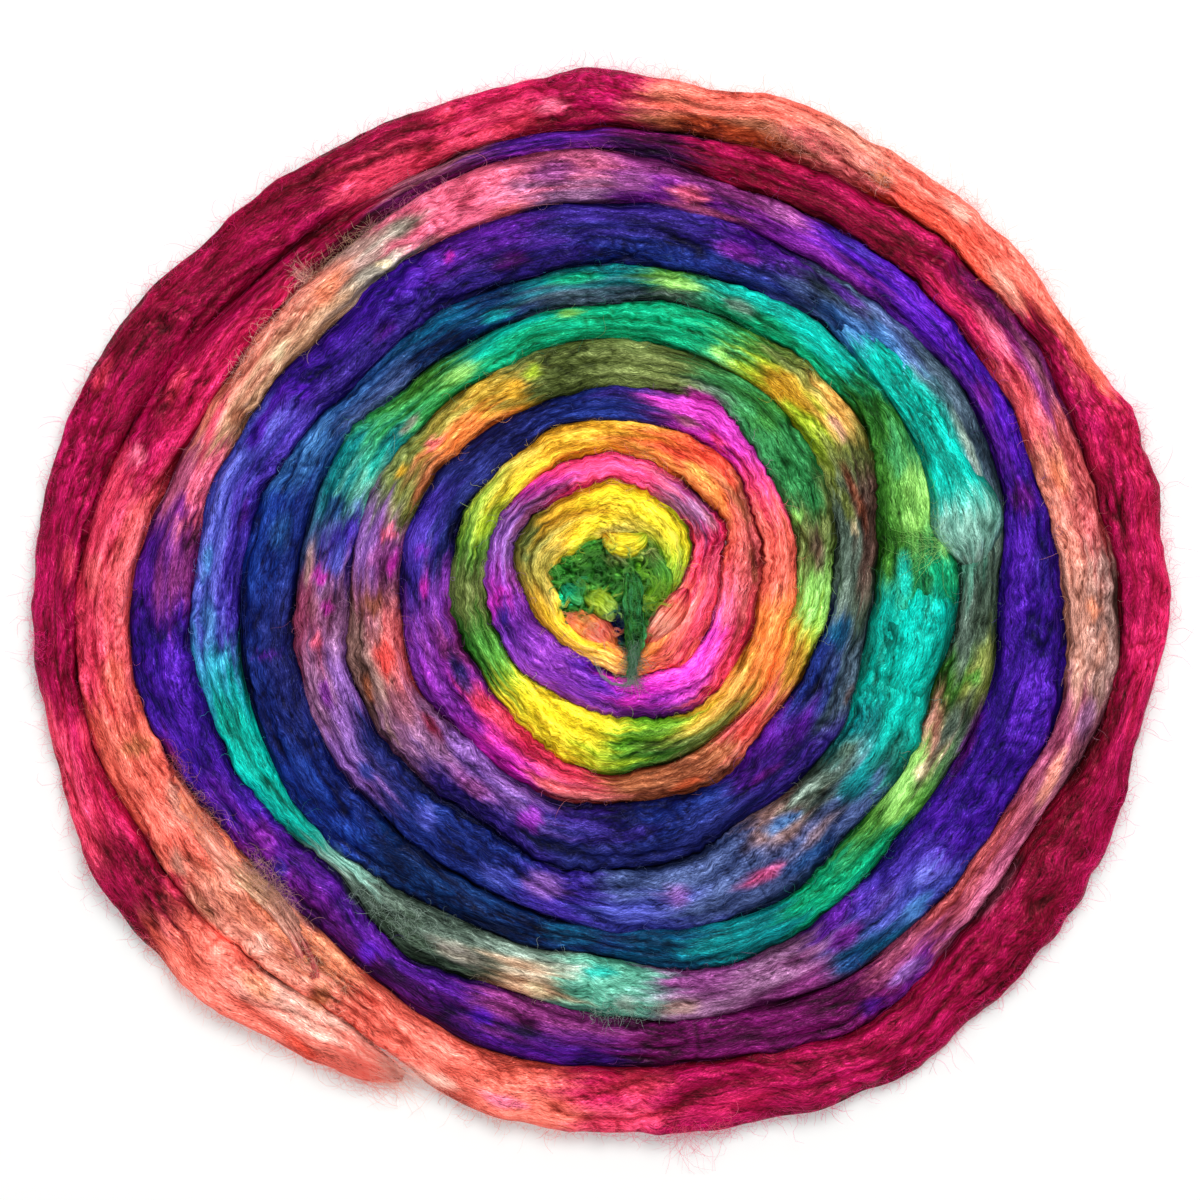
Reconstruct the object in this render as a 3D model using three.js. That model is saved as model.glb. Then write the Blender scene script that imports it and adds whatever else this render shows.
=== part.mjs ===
// Silk roving: one long strand of hand-dyed, combed silk, laid out flat in an oval coil.
// Millimetres, +Z up. The coil rests on z = 0 and the middle of its outline box is the origin.
// Two solids: the wound form, and the short loose end that falls from the middle over the inner turn.

import * as THREE from 'three';

// ---------------------------------------------------------------- driving dimensions

// The coil cut at every 15 degrees, in the order in which the strand runs: clockwise from its outer end.
// bearing: degrees anticlockwise from +X, seen from above. edge: from the eye of the coil to its outer
// edge. valleys: from the eye to each valley between two turns, from the outside in.
const SECTIONS = [
  { bearing: 240, edge: 274, valleys: [260, 229, 208, 180, 161, 132, 105, 82, 58, 36, 25] },
  { bearing: 225, edge: 289, valleys: [257, 225, 197, 188, 161, 134, 104, 78, 60, 37, 25] },
  { bearing: 210, edge: 294, valleys: [263, 230, 206, 190, 163, 136, 107, 78, 60, 38, 27] },
  { bearing: 195, edge: 290, valleys: [270, 241, 210, 189, 162, 135, 107, 80, 61, 42, 24] },
  { bearing: 180, edge: 289, valleys: [268, 239, 210, 186, 158, 131, 106, 82, 63, 45, 25] },
  { bearing: 165, edge: 286, valleys: [257, 228, 206, 182, 155, 131, 106, 82, 65, 51, 29] },
  { bearing: 150, edge: 278, valleys: [245, 219, 199, 170, 154, 129, 106, 84, 67, 55, 30] },
  { bearing: 135, edge: 265, valleys: [234, 219, 193, 163, 145, 126, 103, 84, 68, 54, 27] },
  { bearing: 120, edge: 261, valleys: [231, 219, 196, 163, 144, 125, 102, 85, 68, 53, 27] },
  { bearing: 105, edge: 259, valleys: [232, 222, 195, 163, 144, 126, 102, 87, 69, 54, 26] },
  { bearing: 90, edge: 260, valleys: [232, 220, 195, 163, 144, 125, 103, 86, 70, 56, 26] },
  { bearing: 75, edge: 261, valleys: [233, 212, 195, 165, 149, 126, 104, 85, 68, 54, 25] },
  { bearing: 60, edge: 260, valleys: [236, 213, 193, 168, 148, 126, 107, 86, 66, 51, 24] },
  { bearing: 45, edge: 263, valleys: [241, 216, 196, 170, 150, 125, 101, 86, 64, 50, 23] },
  { bearing: 30, edge: 265, valleys: [245, 219, 201, 173, 149, 122, 96, 80, 66, 46, 22] },
  { bearing: 15, edge: 276, valleys: [246, 220, 201, 168, 138, 116, 94, 78, 56, 38, 21] },
  { bearing: 0, edge: 279, valleys: [254, 225, 194, 174, 132, 109, 92, 73, 53, 31, 18] },
  { bearing: -15, edge: 273, valleys: [253, 231, 194, 167, 130, 106, 88, 73, 52, 25, 15] },
  { bearing: -30, edge: 279, valleys: [242, 224, 190, 170, 133, 103, 89, 72, 51, 24, 12] },
  { bearing: -45, edge: 279, valleys: [245, 225, 189, 169, 132, 103, 89, 72, 51, 24, 10] },
  { bearing: -60, edge: 280, valleys: [251, 224, 195, 175, 132, 109, 89, 69, 46, 30, 9] },
  { bearing: -75, edge: 274, valleys: [240, 219, 195, 172, 138, 106, 89, 65, 44, 30] },
  { bearing: -90, edge: 270, valleys: [238, 212, 183, 168, 138, 106, 91, 62, 40, 24] },
  { bearing: -105, edge: 268, valleys: [237, 205, 181, 165, 139, 108, 88, 59, 37, 23] },
];

const STEPS_PER_TURN = 48; // facets round one turn
const TURNS = 10 + 285 / 360; // turns that the strand makes before it ends in the middle tuft

// A cut across the strand. across: 0 at its outer valley, 1 at its inner one. rise: share of the way up
// from the valley to the crown.
const STRAND_PROFILE = [
  { across: 0, rise: 0 },
  { across: 0.18, rise: 0.72 },
  { across: 0.5, rise: 1 },
  { across: 0.82, rise: 0.72 },
  { across: 1, rise: 0 },
];
const CROWN_OF_THIN_STRAND = 12; // crown height where the strand is THIN_STRAND wide
const THIN_STRAND = 12;
const CROWN_PER_WIDTH = 0.15; // extra crown height for each millimetre of extra width
const VALLEY_SHARE = 0.45; // valley height as a share of the crown beside it
const FIRST_VALLEY = { from: 0.96, to: 1.08 }; // turns over which the outer side becomes a valley
const INNER_LIFT = 4; // the middle turns are pushed up by this much, fading out at INNER_LIFT_REACH
const INNER_LIFT_REACH = 80;

const EDGE_HEIGHT = 4; // where the outer side is widest, above the surface
const EDGE_TUCK = 2.5; // how far the outer side turns in under that
// The thin outer end runs on for this many degrees past the first section, to a tip this far across it.
const OUTER_TIP = { bearing: 6, across: 0.6 };

const TUFT = { x: -6, y: 4, height: 22 }; // top of the middle tuft, from the eye of the coil
const TUFT_RINGS = [
  { inward: 0.3, rise: 0.55 },
  { inward: 0.65, rise: 0.9 },
];

// The loose inner end, from its root in the tuft to its tip: a flat lock that lies on the coil.
const LOOSE_END = [
  { x: 12, y: 7, width: 7, thickness: 3 },
  { x: 10.5, y: -5, width: 10, thickness: 5 },
  { x: 12, y: -18, width: 12, thickness: 5 },
  { x: 11, y: -29, width: 10, thickness: 4 },
  { x: 10.5, y: -37, width: 6, thickness: 3 },
  { x: 9.5, y: -43, width: 3, thickness: 2 },
];
const LOOSE_END_STEPS = 20;
const LOOSE_END_SIDES = 10;
const LAID_GAP = 0.7; // between the loose end and what it lies on
const LAID_REACH = 2; // it clears what is this near to each of its points
const ABOVE_ALL = 100; // a height over the whole coil

// ---------------------------------------------------------------- the spiral valley

// Every valley is the same line: the strand's outer edge, one turn further in.
const sectionsPerTurn = SECTIONS.length;
const lastTurn = SECTIONS[0].valleys.length;
const valleyPoints = [];
for (let turn = 0; turn <= lastTurn; turn += 1) {
  for (const { bearing, edge, valleys } of SECTIONS) {
    const radius = turn === 0 ? edge : valleys[turn - 1];
    if (radius !== undefined) {
      const angle = THREE.MathUtils.degToRad(bearing);
      valleyPoints.push(new THREE.Vector2(radius * Math.cos(angle), radius * Math.sin(angle)));
    }
  }
}
const valleyLine = new THREE.SplineCurve(valleyPoints);

/** Where the strand's outer edge is after this many steps from the outer end. */
function outerEdge(step) {
  const section = (step / STEPS_PER_TURN) * sectionsPerTurn;
  return valleyLine.getPoint(section / (valleyPoints.length - 1));
}

/** Crown height of a strand this wide whose middle is this far from the eye of the coil. */
function crownHeight(width, fromEye) {
  const plain = CROWN_OF_THIN_STRAND + CROWN_PER_WIDTH * (width - THIN_STRAND);
  const lift = INNER_LIFT * (1 - THREE.MathUtils.smoothstep(fromEye, 0, INNER_LIFT_REACH));
  return plain + lift;
}

/** The valley's height: the edge of the first turn is the coil's own outer side. */
function valleyHeight(step) {
  const outside = outerEdge(Math.max(0, step - STEPS_PER_TURN));
  const here = outerEdge(step);
  const height = VALLEY_SHARE * crownHeight(outside.distanceTo(here), here.length());
  const { from, to } = FIRST_VALLEY;
  const insideCoil = THREE.MathUtils.smoothstep(step / STEPS_PER_TURN, from, to);
  return THREE.MathUtils.lerp(EDGE_HEIGHT, height, insideCoil);
}

// ---------------------------------------------------------------- wound form

/** Collects points and triangles, and turns them into one closed geometry. */
class Skin {
  points = [];
  faces = [];

  point(x, y, z) {
    this.points.push(x, y, z);
    return this.points.length / 3 - 1;
  }

  at(index) {
    return new THREE.Vector3().fromArray(this.points, index * 3);
  }

  /** Two triangles between the pairs a-b and c-d, which run the same way. */
  strip(a, b, c, d) {
    this.faces.push(a, c, b, b, c, d);
  }

  geometry() {
    const shape = new THREE.BufferGeometry();
    shape.setAttribute('position', new THREE.Float32BufferAttribute(this.points, 3));
    shape.setIndex(this.faces);
    shape.computeVertexNormals();
    return shape;
  }
}

/** The point of the coil's upper side at a step along the strand and a place in its profile. */
function strandPoint(skin, step, { across, rise }) {
  const outer = outerEdge(step);
  const inner = outerEdge(step + STEPS_PER_TURN);
  const middle = outer.clone().lerp(inner, 0.5);
  const place = outer.clone().lerp(inner, across);
  const valley = THREE.MathUtils.lerp(valleyHeight(step), valleyHeight(step + STEPS_PER_TURN), across);
  const crown = crownHeight(outer.distanceTo(inner), middle.length());
  return skin.point(place.x, place.y, THREE.MathUtils.lerp(valley, crown, rise));
}

/** The whole coil as one closed surface. */
function woundForm() {
  const skin = new Skin();
  const steps = Math.round(TURNS * STEPS_PER_TURN);
  const valleys = [];
  for (let step = 0; step <= steps + STEPS_PER_TURN; step += 1) {
    const place = outerEdge(step);
    valleys.push(skin.point(place.x, place.y, valleyHeight(step)));
  }
  // Each row of points across the strand shares its first and last with the turns beside it.
  const rows = [];
  for (let step = 0; step <= steps; step += 1) {
    const between = STRAND_PROFILE.slice(1, -1).map((place) => strandPoint(skin, step, place));
    rows.push([valleys[step], ...between, valleys[step + STEPS_PER_TURN]]);
  }
  for (let step = 0; step < steps; step += 1) {
    for (let i = 0; i + 1 < STRAND_PROFILE.length; i += 1) {
      skin.strip(rows[step][i], rows[step + 1][i], rows[step][i + 1], rows[step + 1][i + 1]);
    }
  }
  const rim = [...rows[steps].slice(0, -1), ...valleys.slice(steps + 1).reverse()];
  closeMiddle(skin, rim);
  closeBelow(skin, outerEnd(skin, valleys, rows[0]));
  return skin.geometry();
}

/** The rim round the eye of the coil rises in rings to the top of the tuft. */
function closeMiddle(skin, rim) {
  const top = new THREE.Vector3(TUFT.x, TUFT.y, TUFT.height);
  let outside = rim;
  for (const { inward, rise } of TUFT_RINGS) {
    const ring = rim.map((index) => {
      const from = skin.at(index);
      const place = from.clone().lerp(top, inward);
      return skin.point(place.x, place.y, THREE.MathUtils.lerp(from.z, top.z, rise));
    });
    ring.forEach((index, i) => {
      const next = (i + 1) % ring.length;
      skin.strip(outside[next], outside[i], ring[next], index);
    });
    outside = ring;
  }
  const peak = skin.point(top.x, top.y, top.z);
  outside.forEach((index, i) => skin.faces.push(index, outside[(i + 1) % outside.length], peak));
}

/** The strand starts thin: its first row closes on a tip, and the outline of the coil is returned. */
function outerEnd(skin, valleys, firstRow) {
  const start = skin.at(firstRow[0]).lerp(skin.at(firstRow[STRAND_PROFILE.length - 1]), OUTER_TIP.across);
  start.applyAxisAngle(new THREE.Vector3(0, 0, 1), THREE.MathUtils.degToRad(OUTER_TIP.bearing));
  const tip = skin.point(start.x, start.y, EDGE_HEIGHT);
  for (let i = 0; i + 1 < firstRow.length; i += 1) {
    skin.faces.push(tip, firstRow[i + 1], firstRow[i]);
  }
  return [...valleys.slice(0, STEPS_PER_TURN + 1), tip];
}

/** The outer side turns in under its widest line and stands on a flat face at z = 0. */
function closeBelow(skin, outline) {
  const foot = outline.map((index) => {
    const { x, y } = skin.at(index);
    const inward = 1 - EDGE_TUCK / Math.hypot(x, y);
    return skin.point(x * inward, y * inward, 0);
  });
  foot.forEach((index, i) => {
    const next = (i + 1) % foot.length;
    skin.strip(outline[next], outline[i], foot[next], index);
  });
  const contour = foot.map((index) => new THREE.Vector2(skin.at(index).x, skin.at(index).y));
  for (const [a, b, c] of THREE.ShapeUtils.triangulateShape(contour, [])) {
    skin.faces.push(foot[a], foot[c], foot[b]);
  }
}

// ---------------------------------------------------------------- loose inner end

/** The highest that the mesh's upper side comes at or near a point, found with rays from above. */
function heightNear(mesh, { x, y }) {
  const down = new THREE.Vector3(0, 0, -1);
  const steps = [[0, 0], [LAID_REACH, 0], [-LAID_REACH, 0], [0, LAID_REACH], [0, -LAID_REACH]];
  const heights = steps.map(([dx, dy]) => {
    const from = new THREE.Vector3(x + dx, y + dy, ABOVE_ALL);
    return new THREE.Raycaster(from, down).intersectObject(mesh)[0].point.z;
  });
  return Math.max(...heights);
}

/** A flat lock of fibre that lies on the coil, so its underside follows the turns below it. */
function looseEnd(coil) {
  const skin = new Skin();
  const line = new THREE.SplineCurve(LOOSE_END.map(({ x, y }) => new THREE.Vector2(x, y)));
  const size = new THREE.SplineCurve(
    LOOSE_END.map(({ width, thickness }) => new THREE.Vector2(width, thickness)),
  );
  const rings = [];
  for (let step = 0; step <= LOOSE_END_STEPS; step += 1) {
    const along = step / LOOSE_END_STEPS;
    const middle = line.getPoint(along);
    const side = line.getTangent(along).rotateAround(new THREE.Vector2(), Math.PI / 2);
    const { x: width, y: thickness } = size.getPoint(along);
    const ring = [];
    for (let i = 0; i < LOOSE_END_SIDES; i += 1) {
      const turn = (2 * Math.PI * i) / LOOSE_END_SIDES;
      const place = middle.clone().addScaledVector(side, (width / 2) * Math.cos(turn));
      const floor = heightNear(coil, place) + LAID_GAP;
      ring.push(skin.point(place.x, place.y, floor + (thickness / 2) * (1 + Math.sin(turn))));
    }
    rings.push(ring);
  }
  for (let step = 0; step < LOOSE_END_STEPS; step += 1) {
    for (let i = 0; i < LOOSE_END_SIDES; i += 1) {
      const next = (i + 1) % LOOSE_END_SIDES;
      skin.strip(rings[step][next], rings[step][i], rings[step + 1][next], rings[step + 1][i]);
    }
  }
  capRing(skin, [...rings[0]].reverse());
  capRing(skin, rings[LOOSE_END_STEPS]);
  return skin.geometry();
}

/** Closes an end of the loose lock with a fan to the middle of its last ring. */
function capRing(skin, ring) {
  const middle = new THREE.Vector3();
  ring.forEach((index) => middle.add(skin.at(index)));
  middle.divideScalar(ring.length);
  const centre = skin.point(middle.x, middle.y, middle.z);
  ring.forEach((index, i) => skin.faces.push(index, ring[(i + 1) % ring.length], centre));
}

// ---------------------------------------------------------------- assembly

const coil = new THREE.Mesh(
  woundForm(),
  new THREE.MeshStandardMaterial({ color: 0x7d2a72, roughness: 0.55, metalness: 0 }),
);
coil.name = 'wound_silk_roving';
coil.updateMatrixWorld();

const lock = new THREE.Mesh(
  looseEnd(coil),
  new THREE.MeshStandardMaterial({ color: 0x3c7d26, roughness: 0.55, metalness: 0 }),
);
lock.name = 'loose_inner_end';

const roving = new THREE.Group();
roving.add(coil, lock);
const outline = new THREE.Box3().setFromObject(coil).getCenter(new THREE.Vector3());
roving.position.set(-outline.x, -outline.y, 0);

export default roving;
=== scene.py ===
import collections
import functools
import math

import bpy
import mathutils
import numpy as np
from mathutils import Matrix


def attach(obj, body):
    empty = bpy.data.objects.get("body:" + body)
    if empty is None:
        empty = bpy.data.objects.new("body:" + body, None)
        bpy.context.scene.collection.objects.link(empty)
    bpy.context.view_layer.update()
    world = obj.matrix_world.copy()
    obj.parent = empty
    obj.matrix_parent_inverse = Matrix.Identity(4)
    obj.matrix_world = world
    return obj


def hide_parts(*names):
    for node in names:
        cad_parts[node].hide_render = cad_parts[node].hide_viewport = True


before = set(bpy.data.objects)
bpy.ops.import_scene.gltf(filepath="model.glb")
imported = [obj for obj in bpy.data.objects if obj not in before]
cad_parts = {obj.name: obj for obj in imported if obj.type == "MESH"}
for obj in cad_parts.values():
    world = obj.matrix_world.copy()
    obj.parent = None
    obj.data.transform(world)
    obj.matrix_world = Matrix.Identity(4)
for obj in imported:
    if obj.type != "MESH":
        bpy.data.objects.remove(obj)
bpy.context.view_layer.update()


# ---- The view -------------------------------------------------------------------------------
# The coil of silk lies flat on a pale table and is looked at from straight above, through a
# long lens, so that its outline shows without foreshortening. The view is 600 mm wide.
MM = 0.001
VIEW_WIDTH = 600 * MM
VIEW_CENTRE = (-1 * MM, 1 * MM)
EYE_HEIGHT = 2.4                       # m over the table
FOCUS_HEIGHT = 8 * MM                  # the height over the table at which the view is that wide

lens = bpy.data.cameras.new("view")
lens.sensor_width = 36
lens.lens = lens.sensor_width * (EYE_HEIGHT - FOCUS_HEIGHT) / VIEW_WIDTH
camera = bpy.data.objects.new("view", lens)
camera.location = (*VIEW_CENTRE, EYE_HEIGHT)
bpy.context.scene.collection.objects.link(camera)
bpy.context.scene.camera = camera


# ---- The strand -----------------------------------------------------------------------------
# One length of combed silk top, about 10 m long and as thick as a thumb, laid by hand in a flat
# oval spiral from the outside in. It holds by the weight and cling of its own fibres alone. The
# fibres run lengthwise in soft bundles that merge and part, crimped where the strand was squeezed.
MIDDLE = np.array([5.0, 5.0])          # mm, the spiral's middle in the shared frame
FIRST_BEARING = 240                    # degrees, where the strand's outer end lies
BEARING_STEP = 15                      # degrees, clockwise
PLACES_PER_TURN = 360 // BEARING_STEP  # a place is one such step along the strand
BORDERS = {                            # bearing: mm from the middle, from the rim to the last turn
    240: (276, 253, 229, 208, 180, 161, 132, 105, 82, 58, 36, 25),
    225: (289, 257, 225, 197, 188, 161, 134, 104, 78, 60, 37, 25),
    210: (294, 263, 230, 206, 190, 163, 136, 107, 78, 60, 38, 27),
    195: (290, 270, 241, 210, 189, 162, 135, 107, 80, 61, 42, 24),
    180: (289, 268, 239, 210, 186, 158, 131, 106, 82, 63, 45, 25),
    165: (286, 257, 228, 206, 182, 155, 131, 106, 82, 65, 51, 29),
    150: (278, 245, 219, 199, 170, 154, 129, 106, 84, 67, 55, 30),
    135: (265, 234, 219, 193, 163, 145, 126, 103, 84, 68, 54, 27),
    120: (261, 231, 219, 196, 163, 144, 125, 102, 85, 68, 53, 27),
    105: (259, 232, 222, 195, 163, 144, 126, 102, 87, 69, 54, 26),
    90: (260, 232, 220, 195, 163, 144, 125, 103, 86, 70, 56, 26),
    75: (261, 233, 212, 195, 165, 149, 126, 104, 85, 68, 54, 25),
    60: (260, 236, 213, 193, 168, 148, 126, 107, 86, 66, 51, 24),
    45: (263, 241, 216, 196, 170, 150, 125, 101, 86, 64, 50, 23),
    30: (265, 245, 219, 201, 173, 149, 122, 96, 80, 66, 46, 22),
    15: (276, 246, 220, 201, 168, 138, 116, 94, 78, 56, 38, 21),
    0: (279, 254, 225, 194, 174, 132, 109, 92, 73, 53, 31, 18),
    -15: (273, 253, 231, 194, 167, 130, 106, 88, 73, 52, 25, 15),
    -30: (279, 242, 224, 190, 170, 133, 103, 89, 72, 51, 24, 12),
    -45: (279, 245, 225, 189, 169, 132, 103, 89, 72, 51, 24, 10),
    -60: (280, 251, 224, 195, 175, 132, 109, 89, 69, 46, 30, 9),
    -75: (274, 240, 219, 195, 172, 138, 106, 89, 65, 44, 30),
    -90: (270, 238, 212, 183, 168, 138, 106, 91, 62, 40, 24),
    -105: (268, 237, 205, 181, 165, 139, 108, 88, 59, 37, 23),
}
RIM_LUMPS = [                          # bearing, mm that the rim stands out there, degrees to each side
    (93, 2.0, 6), (79, -5.0, 10), (65, 2.0, 6), (19, 2.5, 5), (6, -2.0, 6), (-33, 2.0, 3),
    (-38, 2.0, 3), (-57, 1.2, 6), (-68, 1.6, 5),
]
LAST_PLACE = 259.0                     # where the strand dives under the tuft in the middle
OUTER_END = 0.45                       # places by which the outer end tapers past the first row
TIP_PINCH = 9.0                        # mm by which each side of the outer end draws in over that taper
RING_STEP = 1.9                        # mm between the mesh's rings along the strand
NOMINAL_WIDTH = 24.0                   # mm, the width at which the bundles were combed


def smooth_step(low, high, value):
    share = np.clip((value - low) / (high - low), 0, 1)
    return share * share * (3 - 2 * share)


def mix(first, second, share):
    """The first value where the share is 0, the second where it is 1."""
    return first * (1 - share) + second * share


def lattice_noise(x, y, seed):
    """Smooth noise between about -1 and 1, made of random slopes on a square lattice."""
    x, y = np.broadcast_arrays(np.asarray(x, float), np.asarray(y, float))
    column, row = np.floor(x).astype(int), np.floor(y).astype(int)
    right, up = x - column, y - row
    fade_right = right ** 3 * (right * (right * 6 - 15) + 10)
    fade_up = up ** 3 * (up * (up * 6 - 15) + 10)
    slopes = np.random.default_rng(seed).uniform(0, 2 * np.pi, (256, 256))

    def corner(dx, dy):
        turn = slopes[(column + dx) % 256, (row + dy) % 256]
        return np.cos(turn) * (right - dx) + np.sin(turn) * (up - dy)

    low = mix(corner(0, 0), corner(1, 0), fade_right)
    high = mix(corner(0, 1), corner(1, 1), fade_right)
    return 1.5 * mix(low, high, fade_up)


def patchy(run, long, across, wide, seed):
    """Smooth noise in patches so many mm long and wide, which lie along the fibres."""
    return lattice_noise(run / long, across / wide, seed)


def border_points():
    """The line between one turn and the next, wound inward from the rim, one point a place."""
    points = []
    for turn in range(len(BORDERS[FIRST_BEARING])):
        for bearing, distances in BORDERS.items():
            if turn < len(distances):
                angle = math.radians(bearing)
                reach = distances[turn]
                points.append(MIDDLE + reach * np.array([math.cos(angle), math.sin(angle)]))
    return np.array(points)


BORDER = border_points()


def smooth_between(before, start, end, after, share):
    """Where a smooth curve through four points is, between the second and the third."""
    slope_in, slope_out = (end - before) / 2, (after - start) / 2
    curve = (2 * (start - end) + slope_in + slope_out) * share ** 3
    curve = curve + (3 * (end - start) - 2 * slope_in - slope_out) * share ** 2
    return curve + slope_in * share + start


def on_border(place):
    """Points of the border line at the given places, on a smooth curve through its points."""
    last = len(BORDER) - 1
    place = np.clip(place, 0, last - 1e-6)
    first = np.floor(place).astype(int)
    around = [BORDER[np.clip(first + step, 0, last)] for step in (-1, 0, 1, 2)]
    return smooth_between(*around, (place - first)[:, None])


def run_along(points):
    """How far along a line each of its points is."""
    return np.append(0, np.cumsum(np.linalg.norm(np.diff(points, axis=0), axis=1)))


def unit(vectors):
    return vectors / np.maximum(np.linalg.norm(vectors, axis=-1, keepdims=True), 1e-9)


def border_with_wobble(place):
    """The border line with the small unevenness of soft bundles, more of it along the rim."""
    line = on_border(place)
    away = line - MIDDLE
    reach = np.linalg.norm(away, axis=1)
    run = place * math.radians(BEARING_STEP) * np.maximum(reach, 30)
    wobble = 1.3 * lattice_noise(run / 34, 0.37, 51) + 0.7 * lattice_noise(run / 14, 0.61, 52)
    on_rim = 1 - smooth_step(PLACES_PER_TURN - 1, PLACES_PER_TURN + 1, place)
    bearing = FIRST_BEARING - place * BEARING_STEP
    lumps = 0.9 * lattice_noise(run / 26, 0.83, 54) + 0.5 * lattice_noise(run / 8, 0.47, 53)
    for middle, out, width in RIM_LUMPS:
        lumps = lumps + out * (1 - smooth_step(0, width, np.abs(bearing - middle)))
    wobble += on_rim * lumps
    return line + away / np.maximum(reach, 1)[:, None] * (wobble * smooth_step(10, 60, reach))[:, None]


def strand_edges(place):
    """The strand's outer and inner edge at the given places, drawn to a point before the first."""
    outer = border_with_wobble(np.maximum(place, 0))
    inner = border_with_wobble(np.maximum(place, 0) + PLACES_PER_TURN)
    beyond = np.clip(-place, 0, OUTER_END)
    angle = np.radians(FIRST_BEARING + beyond * BEARING_STEP)
    ray = np.stack([np.cos(angle), np.sin(angle)], axis=1)
    share = (beyond / OUTER_END)[:, None]
    rim, inner_side = BORDERS[FIRST_BEARING][:2]
    tip_outer = MIDDLE + ray * (rim - TIP_PINCH * share ** 2)
    tip_inner = MIDDLE + ray * (inner_side + TIP_PINCH * share)
    past = (place < 0)[:, None]
    return np.where(past, tip_outer, outer), np.where(past, tip_inner, inner)


def even_places(first, last, step):
    """Places along the strand that lie step mm apart on its middle line, and their run in mm."""
    fine = np.linspace(first, last, 40000)             # far finer than the steps
    outer, inner = strand_edges(fine)
    run = run_along((outer + inner) / 2)
    even_run = np.linspace(0, run[-1], int(run[-1] / step))
    return np.interp(even_run, run, fine), even_run


# A strand's section: a soft pillow, widest low down, where it meets the turn beside it.
TOP_COLUMNS = 29
UNDER_COLUMNS = 4
WIDEST_AT = 0.40                       # share of the height at which the section is widest
SHOULDER = 2.15                        # exponent of the crown, 2 for an ellipse
TUCK = 0.35                            # mm by which a turn presses into the next
NOMINAL_CROWN = 13.0                   # mm, the height at which the bundles were combed


def pillow_section():
    """Across from 0 to 1 and up from 0 to 1: over the top, and then back underneath."""
    turn = np.linspace(0, np.pi, 2000)
    across = 0.5 - 0.5 * np.sign(np.cos(turn)) * np.abs(np.cos(turn)) ** (2 / SHOULDER)
    up = WIDEST_AT + (1 - WIDEST_AT) * np.sin(turn) ** (2 / SHOULDER)
    run = run_along(np.stack([across * NOMINAL_WIDTH, up * NOMINAL_CROWN], axis=1))
    even = np.linspace(0, run[-1], TOP_COLUMNS)
    top = np.stack([np.interp(even, run, across), np.interp(even, run, up)], axis=1)
    under_turn = np.linspace(0, np.pi, UNDER_COLUMNS + 2)[1:-1]
    under_across = 0.5 + 0.5 * np.sign(np.cos(under_turn)) * np.abs(np.cos(under_turn)) ** 0.5
    under_up = WIDEST_AT * (1 - np.sin(under_turn) ** 0.5)
    return top, np.stack([under_across, under_up], axis=1), even


SECTION_TOP, SECTION_UNDER, SECTION_HEM = pillow_section()
section_slope = np.gradient(SECTION_TOP * (NOMINAL_WIDTH, NOMINAL_CROWN), axis=0)
SECTION_OUT = unit(np.stack([-section_slope[:, 1], section_slope[:, 0]], axis=1))
section_rim = np.minimum(SECTION_HEM, SECTION_HEM[-1] - SECTION_HEM)
SECTION_FREE = smooth_step(0, 3.0, section_rim)
section_inset = NOMINAL_WIDTH * np.minimum(SECTION_TOP[:, 0], 1 - SECTION_TOP[:, 0])
SECTION_LIT = smooth_step(-1.0, 3.8, section_inset)    # painted shade, dark where turns press together


def combed_relief(run, across, seed):
    """Height of the bundles over the plain section in mm, the painted light, from 0 for painted shade down in
    a crease to 1 on a crest, and the line across the strand that the fibres keep to as they wander."""
    thread = across + 3.0 * patchy(run, 95, across, 34, seed)
    thread = thread + 0.7 * patchy(run, 24, across, 10, seed + 6)
    swell = patchy(run, 64, across, 46, seed + 5)
    bundles = np.abs(patchy(run, 70, thread, 9.5, seed + 1))
    locks = np.abs(patchy(run, 30, thread, 3.8, seed + 2))
    pressed = smooth_step(0.0, 0.42, patchy(run, 44, thread, 11, seed + 7))
    split = np.abs(patchy(run, 150, thread, 15, seed + 8))
    relief = 1.8 * swell + 4.2 * np.hypot(bundles, 0.14 * (1 - pressed)) - 1.6
    relief += 0.9 * np.hypot(locks, 0.20 * (1 - pressed))
    relief -= 2.0 * (1 - smooth_step(0.0, 0.10, split)) * (0.3 + 0.7 * pressed)
    # Painted shade: the painted light falls down in the creases between bundles, in pressed patches, along
    # splits and among lumps and crimps.
    crest = 1 - (0.30 + 0.60 * pressed) * (1 - smooth_step(0.0, 0.08 + 0.12 * (1 - pressed), bundles))
    crest *= 0.78 + 0.22 * smooth_step(0.0, 0.5, bundles)
    crest *= 1 - (0.3 + 0.7 * pressed) * (1 - smooth_step(-0.01, 0.07, split))
    crumpled = 0.25 + 0.75 * smooth_step(-0.2, 0.30, patchy(run, 52, across, 20, seed + 3))
    lumps = np.abs(patchy(run, 12, thread, 7, seed + 4))
    crimps = np.abs(patchy(run, 5.6, thread, 5, seed + 9))
    inset = smooth_step(1.0, 8.0, np.minimum(across, SECTION_HEM[-1] - across))
    relief += crumpled * inset * (4.2 * lumps + 1.2 * crimps - 1.5)
    crest *= 1 - 0.58 * crumpled * (1 - smooth_step(0.0, 0.14, lumps))
    crest *= 1 - 0.22 * crumpled * (1 - smooth_step(0.0, 0.18, crimps))
    thread = thread + crumpled * 1.1 * patchy(run, 9, across, 7, seed + 10)
    return relief, crest, thread


def upward_normals(points):
    """The normals of a grid of points, all on its upper side."""
    normals = unit(np.cross(np.gradient(points, axis=1), np.gradient(points, axis=0)))
    return normals * np.where(normals[..., 2:] < 0, -1, 1)


# The upper face of a strand or lock: grids of rings by columns, which loose fibres lie on.
Skin = collections.namedtuple("Skin", "points normals run across crest dye")
PAINTED = ("run", "across", "crest", "dye")            # what the silk's material reads from a piece


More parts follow.
